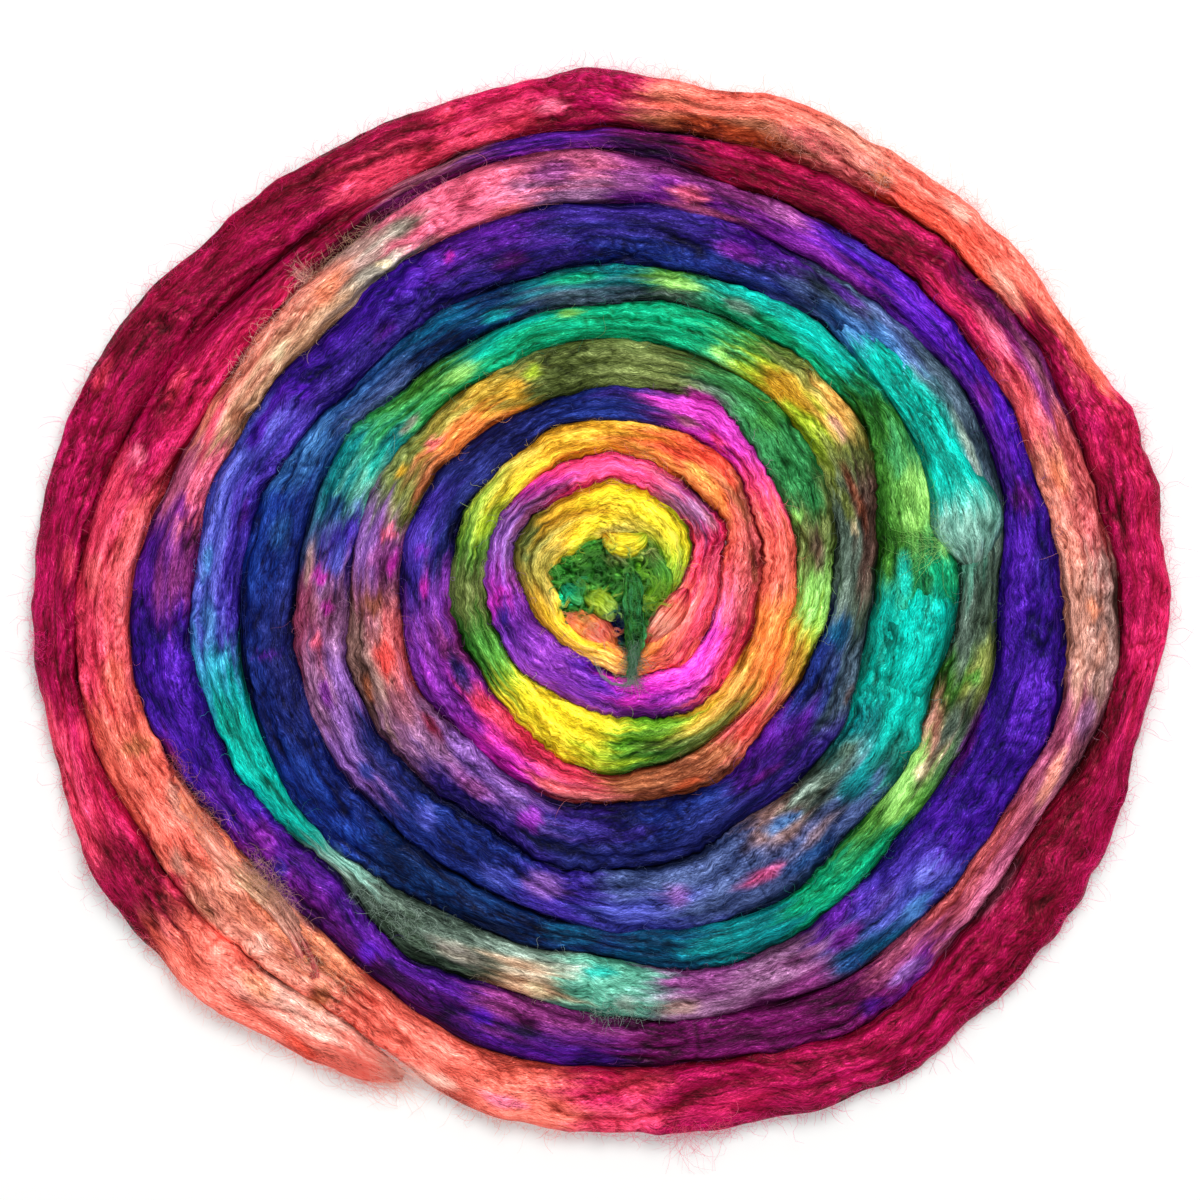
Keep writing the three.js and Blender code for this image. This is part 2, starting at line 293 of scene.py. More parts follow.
def closed_mesh(name, points, faces):
    """A smooth mesh object from points in mm and faces, at the shared frame's origin."""
    mesh = bpy.data.meshes.new(name)
    mesh.from_pydata((np.asarray(points) * MM).tolist(), [], faces)
    mesh.polygons.foreach_set("use_smooth", [True] * len(mesh.polygons))
    piece = bpy.data.objects.new(name, mesh)
    bpy.context.scene.collection.objects.link(piece)
    return piece


def paint(piece, **values):
    """Stores one number or one colour for each point of a piece, for its material to read."""
    for name, value in values.items():
        value = np.asarray(value, np.float32)
        if value.ndim == 1:
            layer = piece.data.attributes.new(name, "FLOAT", "POINT")
            layer.data.foreach_set("value", value)
        else:
            layer = piece.data.attributes.new(name, "FLOAT_COLOR", "POINT")
            solid = np.concatenate([value, np.ones((len(value), 1), np.float32)], axis=1)
            layer.data.foreach_set("color", solid.ravel())


def ring_faces(rings, columns):
    """The quads of a closed tube of rings, with a fan of triangles over each end."""
    ring = np.arange(rings - 1)[:, None] * columns
    here = np.arange(columns)[None, :]
    following = (here + 1) % columns
    quads = np.stack([ring + here, ring + following, ring + columns + following,
                      ring + columns + here], axis=-1).reshape(-1, 4)
    pairs = [(column, (column + 1) % columns) for column in range(columns)]
    top_ring = (rings - 1) * columns
    first_end = [(rings * columns, b, a) for a, b in pairs]
    last_end = [(rings * columns + 1, top_ring + a, top_ring + b) for a, b in pairs]
    return quads.tolist() + first_end + last_end


def lay_strand(outer, inner, crown, base, run, dye_of, seed, relief_share=1.0, free_rim=0.0):
    """Rings of a soft strand between two edges, in mm, and the skin of its upper face. Painted shade
    darkens it beside its neighbours, but not along the outer side where that is a free rim."""
    width = np.linalg.norm(inner - outer, axis=1)
    side = (inner - outer) / np.maximum(width, 1e-6)[:, None]
    section = np.concatenate([SECTION_TOP, SECTION_UNDER])
    reach = section[None, :, 0] * (width + 2 * TUCK)[:, None] - TUCK
    height = base[:, None] + section[None, :, 1] * crown[:, None]
    runs, across = np.broadcast_arrays(run[:, None], SECTION_HEM[None, :])
    relief, crest, thread = combed_relief(runs, across, seed)
    slim = np.clip(width / NOMINAL_WIDTH, 0.12, 1)[:, None]
    lift = relief * slim * relief_share * SECTION_FREE[None, :]
    reach[:, :TOP_COLUMNS] += lift * SECTION_OUT[None, :, 0]
    height[:, :TOP_COLUMNS] += lift * SECTION_OUT[None, :, 1]
    points = np.empty(reach.shape + (3,))
    points[..., :2] = outer[:, None, :] + side[:, None, :] * reach[..., None]
    points[..., 2] = np.maximum(height, 0.25)
    tops = points[:, :TOP_COLUMNS]
    lit = np.broadcast_to(SECTION_LIT[None, :], crest.shape).copy()
    outer_half = np.arange(TOP_COLUMNS) < TOP_COLUMNS // 2
    lit[:, outer_half] += (1 - lit[:, outer_half]) * np.reshape(free_rim, (-1, 1))
    merged = smooth_step(0.0, 0.5, patchy(tops[..., 0], 45, tops[..., 1], 45, 41))
    lit = lit + (1 - lit) * 0.80 * merged              # here and there two turns cling and merge, and the painted shade between them is lighter
    # The painted light of the upper face: the creases' painted shade and the grooves' together.
    crest = crest * lit
    dye = dye_of(runs, SECTION_HEM[None, :] / SECTION_HEM[-1], thread, tops)
    skin = Skin(points=tops, normals=upward_normals(tops), run=runs, across=thread, crest=crest, dye=dye)
    return points, skin


def ringed_piece(name, rings, ends, values):
    """One closed piece from rings of points, its two end points, and a grid of each painted value."""
    piece = closed_mesh(name, np.concatenate([rings.reshape(-1, 3), ends]), ring_faces(*rings.shape[:2]))
    painted = {}
    for value, grid in values.items():
        grid = np.broadcast_to(grid, rings.shape[:2] + grid.shape[2:]).reshape((-1,) + grid.shape[2:])
        painted[value] = np.concatenate([grid, grid[:1], grid[-1:]])
    paint(piece, **painted)
    return piece


def strand_piece(name, points, skin):
    """Closes rings into one solid piece that carries its dye and its fibres' run and place."""
    back = np.linspace(1, 0, UNDER_COLUMNS + 2)[1:-1]

    def all_round(top):
        """Values of the upper face, carried round the underside from its two edges."""
        share = back.reshape((1, UNDER_COLUMNS) + (1,) * (top.ndim - 2))
        return np.concatenate([top, mix(top[:, :1], top[:, -1:], share)], axis=1)

    ends = np.array([points[0].mean(0), points[-1].mean(0)])
    return ringed_piece(name, points, ends, {value: all_round(getattr(skin, value)) for value in PAINTED})


# The dyes, as they dry on silk, and where the dyer poured each: a chart of places where the
# colour changes, turn by turn from the rim, with the dye on the strand's outer and inner side.
DYES = {
    "crimson": "a60e4e", "dark crimson": "860634", "raspberry": "cc2560", "rose": "e2486a",
    "coral": "fd8474", "deep coral": "f0604c", "peach": "f6a390", "pale peach": "fcc4b4",
    "tan": "dca392", "cream": "f0dcb4", "dusty pink": "bf6488", "dusk": "94586a",
    "plum": "6c1058", "aubergine": "501060", "violet": "56188c", "deep violet": "481898",
    "bright violet": "5c1cb4", "indigo": "38247e", "blue violet": "4c34a4",
    "periwinkle": "6268c8", "lavender": "9467b4", "mauve": "9c6c94", "taupe": "a8857e",
    "navy": "1c2e78", "midnight": "0a2a5c", "ink": "262c70", "blue": "2f5c98",
    "sky": "3fb0cc", "slate": "4d6070", "teal": "04868a", "turquoise": "04b8a8",
    "mint": "7cc8b0", "sage": "66786c", "pale sage": "a2b8aa", "emerald": "0cac7c",
    "green": "3f9458", "leaf": "4e8c36", "forest": "2f7028", "lime": "a4e078", "pale lime": "bcd858",
    "chartreuse": "bcd63c", "olive": "75824a", "moss": "8e9850", "gold": "e6b238",
    "yellow": "fee63c", "honey": "fdc46c", "orange": "fd9a54", "rust": "c67c56",
    "brown": "94563e", "umber": "6a5048", "salmon": "f07078", "hot pink": "ff5c98",
    "pink": "ff84a4", "fuchsia": "c42cac", "magenta": "f45ad8", "purple": "9446b8",
    "wine": "5c0428", "dusty rose": "cc6468", "burnt orange": "b44c28", "apricot": "fba07c",
    "pale tan": "d8ac8c", "orchid": "7c2494", "bright orchid": "a83cc4", "lilac": "a85ca0",
    "grey": "aea699", "sky blue": "5890cc", "royal": "1c3c90", "peacock": "08587c",
    "ice": "a4d8c8", "dark sage": "4a5c4c", "red": "e8504c", "bronze": "b0802c",
    "mulberry": "8e3a80", "denim": "4c5c8c", "jade": "54c070", "pine": "1c6c60", "bottle": "0c7848",
    "mustard": "b0a04c", "grass": "74ac2c", "straw": "dccc60", "orchid pink": "cc5688",
}
STRETCHES = [                          # turn by turn from the rim: bearing where a stretch starts, its
    # dye, and the dye on its inner side where that differs
    [(252, "coral", "pale peach"), (226, "coral"), (217, "dark crimson"), (207, "rose", "raspberry"),
     (192, "crimson"), (160, "dark crimson", "crimson"), (147, "dark crimson", "crimson"),
     # On the rim turn, the brown on the inner side from bearing 86 is painted shade on its side away from the
     # light.
     (125, "dark crimson", "rose"), (112, "raspberry", "rose"), (98, "crimson"), (86, "coral", "brown"),
     (66, "peach", "dusty rose"), (57, "coral", "deep coral"), (37, "coral", "crimson"),
     (24, "raspberry", "crimson"), (-12, "crimson", "dark crimson"), (-36, "crimson"),
     (-85, "rose", "raspberry"), (-95, "coral")],
    [(252, "coral"), (236, "peach", "apricot"), (213, "coral"), (192, "rose", "salmon"),
     (166, "crimson", "raspberry"), (132, "dark crimson", "wine"), (121, "dusk", "plum"),
     (106, "violet", "orchid"), (92, "plum", "aubergine"), (79, "crimson", "dark crimson"),
     (44, "plum", "raspberry"), (31, "mulberry", "salmon"), (20, "dusty rose", "peach"),
     (3, "taupe", "tan"), (-13, "dusk", "dusty pink"), (-28, "dusty pink", "dusty rose"),
     (-47, "orchid", "dusty pink"), (-55, "plum"), (-88, "violet", "mulberry")],
    [(252, "aubergine", "violet"), (229, "orchid", "violet"), (213, "deep violet"),
     (183, "violet", "mulberry"), (171, "dusty pink", "pink"), (159, "peach", "pale tan"),
     (131, "taupe", "grey"), (120, "pink"), (104, "dusty pink", "mauve"), (90, "mulberry", "orchid"),
     (64, "bright violet", "orchid"), (48, "bright violet", "violet"), (14, "deep violet"),
     (-38, "periwinkle", "blue violet"), (-49, "peacock", "violet"), (-59, "mulberry", "mauve"),
     (-71, "mauve", "lilac"), (-84, "mint"), (-97, "pale tan", "pale sage")],
    [(252, "dark sage", "sage"), (229, "pale sage", "ice"), (221, "turquoise"), (196, "sky", "teal"),
     (188, "periwinkle", "blue violet"), (152, "deep violet", "indigo"), (121, "violet", "indigo"),
     (98, "indigo", "navy"), (72, "violet", "ink"), (60, "slate", "denim"), (50, "denim", "sky blue"),
     (40, "slate", "turquoise"), (12, "sage", "mint"), (3, "dark sage", "sage"), (-10, "moss", "leaf"),
     (-19, "dark sage", "tan"), (-28, "leaf", "lime"), (-39, "emerald", "leaf"), (-47, "emerald"),
     (-60, "teal"), (-76, "peacock"), (-88, "midnight")],
    [(252, "midnight"), (226, "royal", "navy"), (205, "navy", "ink"), (180, "royal", "navy"),
     (161, "sky blue", "blue"), (149, "blue", "denim"), (132, "peacock", "midnight"),
     (107, "teal", "slate"), (84, "leaf", "sage"), (71, "turquoise", "emerald"), (42, "forest"),
     (31, "green", "leaf"), (21, "lime", "leaf"), (9, "emerald", "leaf"), (-1, "turquoise"),
     (-25, "pine", "teal"), (-36, "denim", "sage"), (-48, "denim", "taupe"), (-58, "denim"),
     (-76, "periwinkle", "denim"), (-92, "blue violet")],
    [(252, "navy"), (222, "lavender", "ink"), (205, "mauve", "lavender"), (190, "dusty pink", "mauve"),
     (177, "denim", "blue violet"), (164, "teal", "mint"), (150, "jade", "teal"), (139, "leaf", "jade"),
     (124, "turquoise", "emerald"), (104, "emerald"), (66, "leaf", "chartreuse"), (57, "moss", "gold"),
     (44, "honey", "chartreuse"), (35, "olive", "moss"), (26, "umber", "sage"), (4, "dark sage", "sage"),
     (-6, "slate", "navy"), (-33, "indigo", "violet"), (-56, "ink", "navy"), (-86, "ink", "indigo")],
    [(252, "indigo", "lavender"), (221, "mauve"), (207, "taupe", "dusty rose"), (187, "dusk"),
     (177, "lavender", "lilac"), (161, "olive", "moss"), (150, "moss", "rust"), (141, "mustard", "orange"),
     (121, "gold"), (114, "olive"), (69, "green", "sage"), (58, "forest", "green"), (44, "green"),
     (24, "olive"), (4, "lime"), (-9, "chartreuse", "gold"), (-16, "bronze", "orange"),
     (-33, "coral", "salmon"), (-48, "brown", "rust"), (-62, "rust", "brown"), (-72, "brown", "rust"),
     (-92, "dusty rose", "rose")],
    [(252, "fuchsia", "rose"), (219, "orchid"), (205, "purple", "mulberry"), (188, "indigo", "purple"),
     (173, "blue violet", "ink"), (150, "ink"), (112, "navy"), (97, "indigo", "navy"),
     (77, "magenta", "aubergine"), (66, "magenta", "fuchsia"), (40, "hot pink", "rose"), (27, "coral"),
     (2, "orange"), (-24, "orange", "bronze"), (-38, "bronze", "honey"), (-47, "moss", "gold"),
     (-60, "olive", "grass"), (-76, "leaf", "grass"), (-93, "chartreuse", "yellow")],
    [(252, "yellow"), (229, "leaf", "chartreuse"), (220, "leaf"), (205, "forest", "leaf"), (191, "olive"),
     (166, "leaf"), (155, "pale lime"), (141, "straw", "yellow"), (126, "gold"), (94, "gold", "orange"),
     (83, "orange", "honey"), (70, "deep coral", "orange"), (46, "brown", "orange"),
     (33, "dusty rose", "coral"), (14, "dusty rose", "salmon"), (2, "dusty rose", "pink"),
     (-12, "rose", "magenta"), (-45, "mulberry", "magenta"), (-56, "orchid", "fuchsia"),
     (-90, "purple", "deep violet")],
    [(252, "purple"), (200, "blue violet", "purple"), (188, "fuchsia", "purple"),
     (176, "purple", "mulberry"), (160, "lavender"), (142, "mulberry", "dusk"),
     (130, "fuchsia", "mulberry"), (118, "hot pink"), (70, "pink", "dusty pink"), (56, "mulberry", "mauve"),
     (35, "raspberry", "rose"), (18, "pink", "rose"), (2, "rose", "coral"), (-16, "salmon", "orange"),
     (-36, "coral", "orange"), (-58, "orange"), (-84, "honey", "orange")],
    [(252, "honey", "yellow"), (232, "gold", "yellow"), (196, "gold", "honey"), (184, "mustard"),
     (158, "olive", "mustard"), (141, "mustard", "gold"), (122, "gold", "yellow"),
     (96, "yellow", "mustard"), (58, "yellow", "moss"), (42, "chartreuse", "leaf"), (22, "leaf", "grass"),
     (8, "chartreuse"), (-12, "grass", "chartreuse"), (-28, "leaf", "green"), (-44, "forest", "green"),
     (-66, "forest")],
]
SOAK = 34.0                            # mm along the strand over which two dyes run into each other
DYED_STEP = 2.0                        # mm between the places at which the dye is worked out


def dye(name):
    """A dye as linear red, green and blue."""
    code = DYES[name]
    share = np.array([int(code[i:i + 2], 16) for i in (0, 2, 4)]) / 255
    return np.where(share > 0.04045, ((share + 0.055) / 1.055) ** 2.4, share / 12.92)


def place_of(turn, bearing):
    return turn * PLACES_PER_TURN + (FIRST_BEARING - bearing) / BEARING_STEP


STRAND_PLACES, STRAND_RUN = even_places(-OUTER_END, LAST_PLACE, RING_STEP)
STRETCH_PLACES = [place_of(turn, row[0]) for turn, rows in enumerate(STRETCHES) for row in rows]
STRETCH_STARTS = np.interp(STRETCH_PLACES, STRAND_PLACES, STRAND_RUN)
DYED_RUN = np.arange(0, STRAND_RUN[-1], DYED_STEP)


def soaked(dyes):
    """The dyes of the stretches, laid along the strand and run into each other."""
    poured = dyes[np.searchsorted(STRETCH_STARTS, DYED_RUN, side="right").clip(1) - 1]
    reach = int(SOAK / 2 / DYED_STEP)
    soak = np.hanning(2 * reach + 3)[1:-1]
    padded = np.pad(poured, ((reach, reach), (0, 0)), mode="edge")
    return np.stack([np.convolve(padded[:, k], soak / soak.sum(), "valid") for k in range(3)], axis=1)


OUTER_DYE = soaked(np.array([dye(row[1]) for rows in STRETCHES for row in rows]))
INNER_DYE = soaked(np.array([dye(row[-1]) for rows in STRETCHES for row in rows]))
SPLASHES = [                           # bearing, mm from the middle, length and width in mm, dye
    (8, 257, 60, 6, "dark crimson"), (16, 251, 34, 8, "raspberry"), (38, 249, 36, 11, "peach"),
    (48, 257, 22, 6, "pale peach"), (57, 247, 16, 9, "rust"), (66, 247, 34, 13, "dusty rose"),
    # The burnt orange at bearing 76 and 237 mm is painted shade along the rim turn's inner side.
    (76, 237, 70, 10, "burnt orange"), (97, 244, 18, 8, "pink"), (109, 253, 14, 9, "rose"),
    (123, 240, 18, 9, "rose"), (130, 255, 40, 12, "dark crimson"), (141, 262, 28, 9, "crimson"),
    # The dark crimson at bearing 150 and 273 mm on the rim is painted shade in a notch.
    (150, 273, 16, 10, "dark crimson"), (157, 276, 16, 8, "rose"), (160, 267, 34, 7, "dark crimson"),
    (177, 272, 20, 8, "rose"), (185, 283, 30, 12, "dark crimson"), (196, 272, 30, 9, "rose"),
    (211, 282, 30, 20, "dark crimson"), (208, 266, 14, 10, "raspberry"), (214, 263, 14, 12, "rose"),
    (228, 264, 26, 12, "apricot"), (236, 276, 24, 8, "deep coral"), (273, 246, 34, 14, "rose"),
    (283, 262, 40, 12, "raspberry"), (323, 268, 60, 14, "dark crimson"), (324, 279, 12, 6, "dark crimson"),
    (331, 254, 40, 10, "dark crimson"), (354, 266, 26, 16, "raspberry"), (346, 268, 20, 9, "raspberry"),
    (3, 246, 20, 6, "taupe"), (15, 231, 26, 9, "apricot"), (20, 241, 34, 8, "dusty rose"),
    (28, 240, 50, 6, "dusk"), (34, 230, 34, 8, "pink"), (58, 220, 30, 9, "dark crimson"),
    (68, 231, 26, 9, "raspberry"), (85, 228, 26, 9, "plum"), (97, 227, 12, 8, "violet"),
    (128, 229, 34, 10, "dark crimson"), (142, 235, 30, 12, "crimson"), (155, 241, 28, 8, "rose"),
    (164, 246, 12, 9, "pink"), (171, 251, 24, 12, "rose"), (178, 259, 20, 12, "salmon"),
    (190, 252, 30, 14, "coral"), (198, 249, 12, 20, "rust"), (206, 240, 26, 12, "tan"),
    (212, 256, 18, 7, "tan"), (218, 257, 22, 6, "brown"), (216, 236, 26, 14, "peach"),
    (225, 248, 14, 12, "pale peach"), (231, 236, 20, 8, "rust"), (234, 249, 14, 16, "rust"),
    (246, 249, 44, 14, "coral"), (250, 259, 30, 8, "pale peach"), (258, 260, 24, 7, "pink"),
    (290, 236, 50, 8, "plum"), (302, 244, 16, 9, "violet"), (308, 240, 22, 9, "lavender"),
    (313, 242, 12, 8, "dusty pink"), (322, 244, 40, 7, "dusk"), (337, 238, 34, 7, "peach"),
    (345, 245, 26, 9, "mauve"), (353, 245, 18, 9, "tan"), (358, 240, 10, 9, "apricot"),
    (3, 215, 26, 9, "blue violet"), (13, 210, 16, 14, "orchid"), (28, 210, 18, 9, "orchid"),
    (41, 205, 36, 10, "bright violet"), (55, 211, 34, 7, "blue violet"), (66, 207, 22, 9, "lilac"),
    (79, 202, 22, 10, "pink"), (87, 206, 22, 14, "lilac"), (76, 196, 50, 4, "dusty pink"),
    (98, 212, 26, 12, "lilac"), (108, 207, 30, 12, "pink"), (105, 198, 24, 5, "salmon"),
    (120, 210, 20, 12, "grey"), (125, 199, 8, 6, "cream"), (133, 207, 30, 12, "apricot"),
    (144, 204, 16, 6, "cream"), (155, 207, 14, 10, "brown"), (157, 216, 40, 5, "rose"),
    (169, 219, 16, 9, "orchid"), (200, 235, 26, 6, "plum"), (207, 220, 30, 14, "violet"),
    (215, 212, 20, 12, "orchid"), (220, 215, 12, 9, "blue violet"), (227, 219, 30, 14, "aubergine"),
    (236, 217, 14, 12, "bright violet"), (253, 222, 14, 10, "bright violet"),
    (272, 206, 12, 10, "pale sage"), (279, 210, 22, 9, "taupe"), (291, 208, 40, 14, "mauve"),
    (303, 220, 18, 8, "blue"), (304, 208, 20, 12, "orchid"), (314, 219, 22, 9, "sky blue"),
    (309, 201, 20, 10, "blue violet"), (337, 193, 50, 6, "orchid"), (345, 212, 40, 14, "deep violet"),
    (9, 186, 8, 10, "cream"), (22, 192, 44, 5, "pale sage"), (12, 172, 10, 12, "ice"),
    (42, 185, 28, 10, "sky blue"), (50, 177, 26, 8, "blue"), (52, 189, 34, 7, "violet"),
    (70, 181, 26, 9, "orchid"), (66, 173, 60, 5, "navy"), (107, 173, 20, 9, "orchid"),
    (116, 186, 8, 6, "fuchsia"), (131, 173, 18, 8, "violet"), (147, 185, 8, 14, "bright violet"),
    (156, 194, 24, 10, "bright violet"), (170, 198, 30, 9, "periwinkle"), (176, 203, 22, 6, "sky blue"),
    (168, 188, 18, 5, "violet"), (184, 202, 26, 9, "sky blue"), (190, 200, 10, 9, "sky"),
    (202, 200, 44, 9, "turquoise"), (224, 192, 12, 8, "ice"), (238, 192, 16, 9, "dark sage"),
    (230, 197, 18, 9, "sage"), (247, 196, 30, 10, "grey"), (259, 201, 14, 6, "cream"),
    (266, 200, 18, 7, "mint"), (268, 190, 20, 8, "turquoise"), (306, 185, 34, 10, "emerald"),
    (323, 179, 24, 9, "lime"), (330, 178, 12, 7, "cream"), (339, 182, 26, 10, "sage"),
    (346, 185, 10, 10, "leaf"), (355, 185, 20, 12, "dark sage"),
    (4, 165, 14, 22, "emerald"), (3, 146, 26, 10, "turquoise"), (13, 155, 12, 14, "lime"),
    (20, 161, 14, 8, "lime"), (25, 157, 22, 12, "green"), (33, 155, 14, 16, "forest"),
    (40, 163, 22, 12, "bottle"), (51, 160, 40, 10, "turquoise"), (66, 156, 20, 9, "sage"),
    (78, 158, 26, 7, "lime"), (87, 151, 22, 6, "slate"), (97, 158, 30, 6, "emerald"),
    (113, 150, 16, 7, "teal"), (112, 160, 36, 12, "midnight"), (153, 165, 16, 12, "sky blue"),
    (161, 172, 18, 10, "blue"), (170, 168, 24, 12, "blue"), (190, 175, 4, 16, "violet"),
    (220, 175, 30, 14, "royal"), (235, 176, 34, 12, "midnight"), (263, 172, 34, 12, "peacock"),
    (282, 155, 16, 12, "lavender"), (298, 160, 28, 7, "orchid pink"),
    (307, 165, 34, 9, "blue"), (313, 138, 26, 6, "pale sage"), (306, 143, 22, 7, "sky blue"),
    (326, 141, 16, 10, "dark sage"), (322, 155, 24, 14, "teal"), (338, 155, 34, 14, "turquoise"),
    (352, 152, 34, 18, "turquoise"),
    (14, 125, 8, 4, "cream"), (20, 125, 22, 6, "moss"), (22, 131, 40, 5, "brown"),
    (36, 139, 16, 6, "tan"), (50, 135, 36, 7, "gold"), (46, 128, 16, 6, "chartreuse"),
    (55, 144, 26, 4, "olive"), (66, 132, 16, 7, "lime"), (72, 135, 20, 8, "emerald"),
    (108, 135, 44, 12, "emerald"), (99, 141, 14, 4, "lime"), (125, 133, 22, 9, "lime"),
    (140, 131, 12, 5, "grey"), (150, 148, 26, 9, "teal"), (151, 134, 26, 6, "turquoise"),
    (163, 145, 14, 12, "blue"), (173, 138, 20, 8, "periwinkle"), (177, 146, 9, 9, "fuchsia"),
    (174, 152, 24, 5, "taupe"), (183, 142, 8, 8, "fuchsia"), (183, 150, 14, 6, "dusk"),
    (190, 150, 8, 7, "pink"), (200, 152, 20, 6, "orchid"), (206, 150, 20, 10, "lavender"),
    (216, 152, 14, 8, "royal"), (230, 145, 10, 12, "periwinkle"), (249, 152, 26, 10, "periwinkle"),
    (257, 150, 24, 14, "lavender"), (306, 115, 24, 12, "violet"), (310, 119, 18, 4, "orchid"),
    (322, 115, 24, 12, "violet"), (336, 129, 12, 3, "umber"), (350, 115, 18, 12, "peacock"),
    (2, 102, 12, 9, "lime"), (12, 105, 22, 9, "umber"), (22, 100, 6, 7, "lime"),
    (25, 112, 18, 9, "green"), (48, 115, 18, 14, "forest"), (110, 117, 8, 9, "chartreuse"),
    (116, 112, 16, 14, "gold"), (130, 110, 12, 10, "orange"), (140, 116, 10, 8, "salmon"),
    (150, 121, 12, 4, "gold"), (150, 109, 24, 6, "rust"), (148, 125, 44, 4, "olive"),
    (165, 115, 10, 9, "pink"), (172, 120, 14, 8, "lilac"), (173, 111, 12, 5, "fuchsia"),
    (183, 120, 14, 12, "brown"), (196, 118, 20, 12, "red"), (201, 131, 16, 4, "rust"),
    (209, 120, 24, 12, "dusk"), (213, 131, 12, 4, "taupe"), (217, 112, 18, 6, "dark crimson"),
    (234, 119, 30, 9, "lilac"), (250, 120, 11, 14, "bright orchid"), (291, 103, 24, 6, "burnt orange"),
    (277, 97, 24, 8, "rust"), (315, 97, 18, 9, "red"), (338, 97, 24, 9, "bronze"),
    (354, 100, 16, 9, "lime"),
    (64, 107, 20, 6, "magenta"), (54, 92, 12, 6, "hot pink"), (66, 93, 16, 6, "dusk"),
    (74, 102, 12, 5, "orchid"), (179, 94, 12, 5, "fuchsia"), (168, 97, 8, 9, "violet"),
    (206, 101, 30, 5, "bright orchid"), (208, 86, 26, 7, "ink"), (222, 95, 20, 9, "orchid"),
    (225, 86, 24, 6, "rose"), (237, 97, 22, 7, "fuchsia"), (252, 101, 20, 7, "salmon"),
    (242, 89, 22, 5, "raspberry"), (250, 94, 12, 5, "hot pink"),
    (62, 75, 8, 9, "deep coral"), (55, 74, 16, 6, "honey"), (152, 72, 16, 8, "chartreuse"),
    (242, 72, 22, 12, "yellow"), (35, 78, 28, 4, "brown"), (10, 72, 26, 4, "brown"),
    (42, 60, 20, 9, "mauve"), (34, 61, 14, 5, "dusk"), (29, 59, 16, 3, "dark crimson"),
    (192, 56, 12, 6, "blue violet"), (183, 57, 6, 5, "fuchsia"), (146, 50, 12, 7, "olive"),
    (157, 46, 6, 6, "olive"), (348, 59, 16, 9, "pink"), (280, 55, 20, 8, "fuchsia"),
]


def splashed(colour, points, run, across):
    """Patches where more dye was dabbed on, and one of painted shade in a notch, drawn out a little along the
    fibres.
    """
    away = points[..., :2] - MIDDLE
    reach, bearing = np.hypot(away[..., 0], away[..., 1]), np.arctan2(away[..., 1], away[..., 0])
    stray = 4 * patchy(run, 15, across, 3.6, 36) + 3 * patchy(run, 9, across, 2, 37)
    for degrees, middle_reach, length, width, name in SPLASHES:
        turned = (bearing - math.radians(degrees) + np.pi) % (2 * np.pi) - np.pi
        beside = (turned * middle_reach + stray) / (length / 2)
        over = (reach - middle_reach + 0.25 * stray) / (width / 2)
        share = 0.85 * (1 - smooth_step(0.40, 1.30, np.hypot(beside, over)))[..., None]
        colour = mix(colour, dye(name), share)
    return colour


def uneven(colour, run, across):
    """Dye never takes evenly: some patches dry paler and some deeper."""
    patch = patchy(run, 26, across, 8, 34) + 0.4 * patchy(run, 11, across, 3.5, 35)
    patch = patch + 0.7 * patchy(run, 55, across, 17, 38)
    depth = np.clip(1 - 0.10 * patch, 0.75, 1.3)[..., None]
    return np.clip(colour, 0.001, 1) ** depth * np.exp2(0.40 * patch)[..., None]


def strand_dye_and_painted_lift(run, share, across, points):
    """The strand's dye at a run, a share of its width from the outer side, and mm across; painted light lifts
    it near the middle.
    """
    here = run + 10 * patchy(run, 40, across, 1.3, 31) + 16 * patchy(run, 70, across, 7, 32)
    outer, inner = (np.stack([np.interp(here, DYED_RUN, side[:, k]) for k in range(3)], axis=-1)
                    for side in (OUTER_DYE, INNER_DYE))
    inward = smooth_step(0.3, 0.7, share + 0.22 * patchy(run, 60, across, 3.5, 33))[..., None]
    colour = uneven(splashed(mix(outer, inner, inward), points, run, across), run, across)
    painted_lift_near_middle = 1 - smooth_step(45, 115, np.hypot(points[..., 0] - MIDDLE[0], points[..., 1] - MIDDLE[1]))
    return colour * (1 + 0.22 * painted_lift_near_middle[..., None])    # painted light: lifted near the middle, out of the deeper shade of the narrow inner turns


# How high a turn stands: a wider one higher, the last turns highest, the outer end low at its tip.
CROWN_HEIGHT, CROWN_WIDTH = 11.2, 12   # mm, the height of a turn of that width
CROWN_GROWTH = 0.15                    # mm higher for each mm wider
MIDDLE_RISE, MIDDLE_REACH = 4, 80      # mm higher in the middle, and how far out that reaches
END_RUN = 40                           # mm over which the outer end comes up to its full height

outer_edge, inner_edge = strand_edges(STRAND_PLACES)
strand_width = np.linalg.norm(inner_edge - outer_edge, axis=1)
from_middle = np.linalg.norm((outer_edge + inner_edge) / 2 - MIDDLE, axis=1)
strand_crown = CROWN_HEIGHT + CROWN_GROWTH * (strand_width - CROWN_WIDTH)
strand_crown = strand_crown + MIDDLE_RISE * (1 - smooth_step(0, MIDDLE_REACH, from_middle))
strand_crown *= 0.3 + 0.7 * smooth_step(0, END_RUN, STRAND_RUN)
on_the_rim = 1 - smooth_step(PLACES_PER_TURN - 1.5, PLACES_PER_TURN + 0.5, STRAND_PLACES)
strand_points, strand_skin = lay_strand(outer_edge, inner_edge, strand_crown, 0 * strand_crown,
                                        STRAND_RUN, strand_dye_and_painted_lift, seed=7, free_rim=0.85 * on_the_rim)


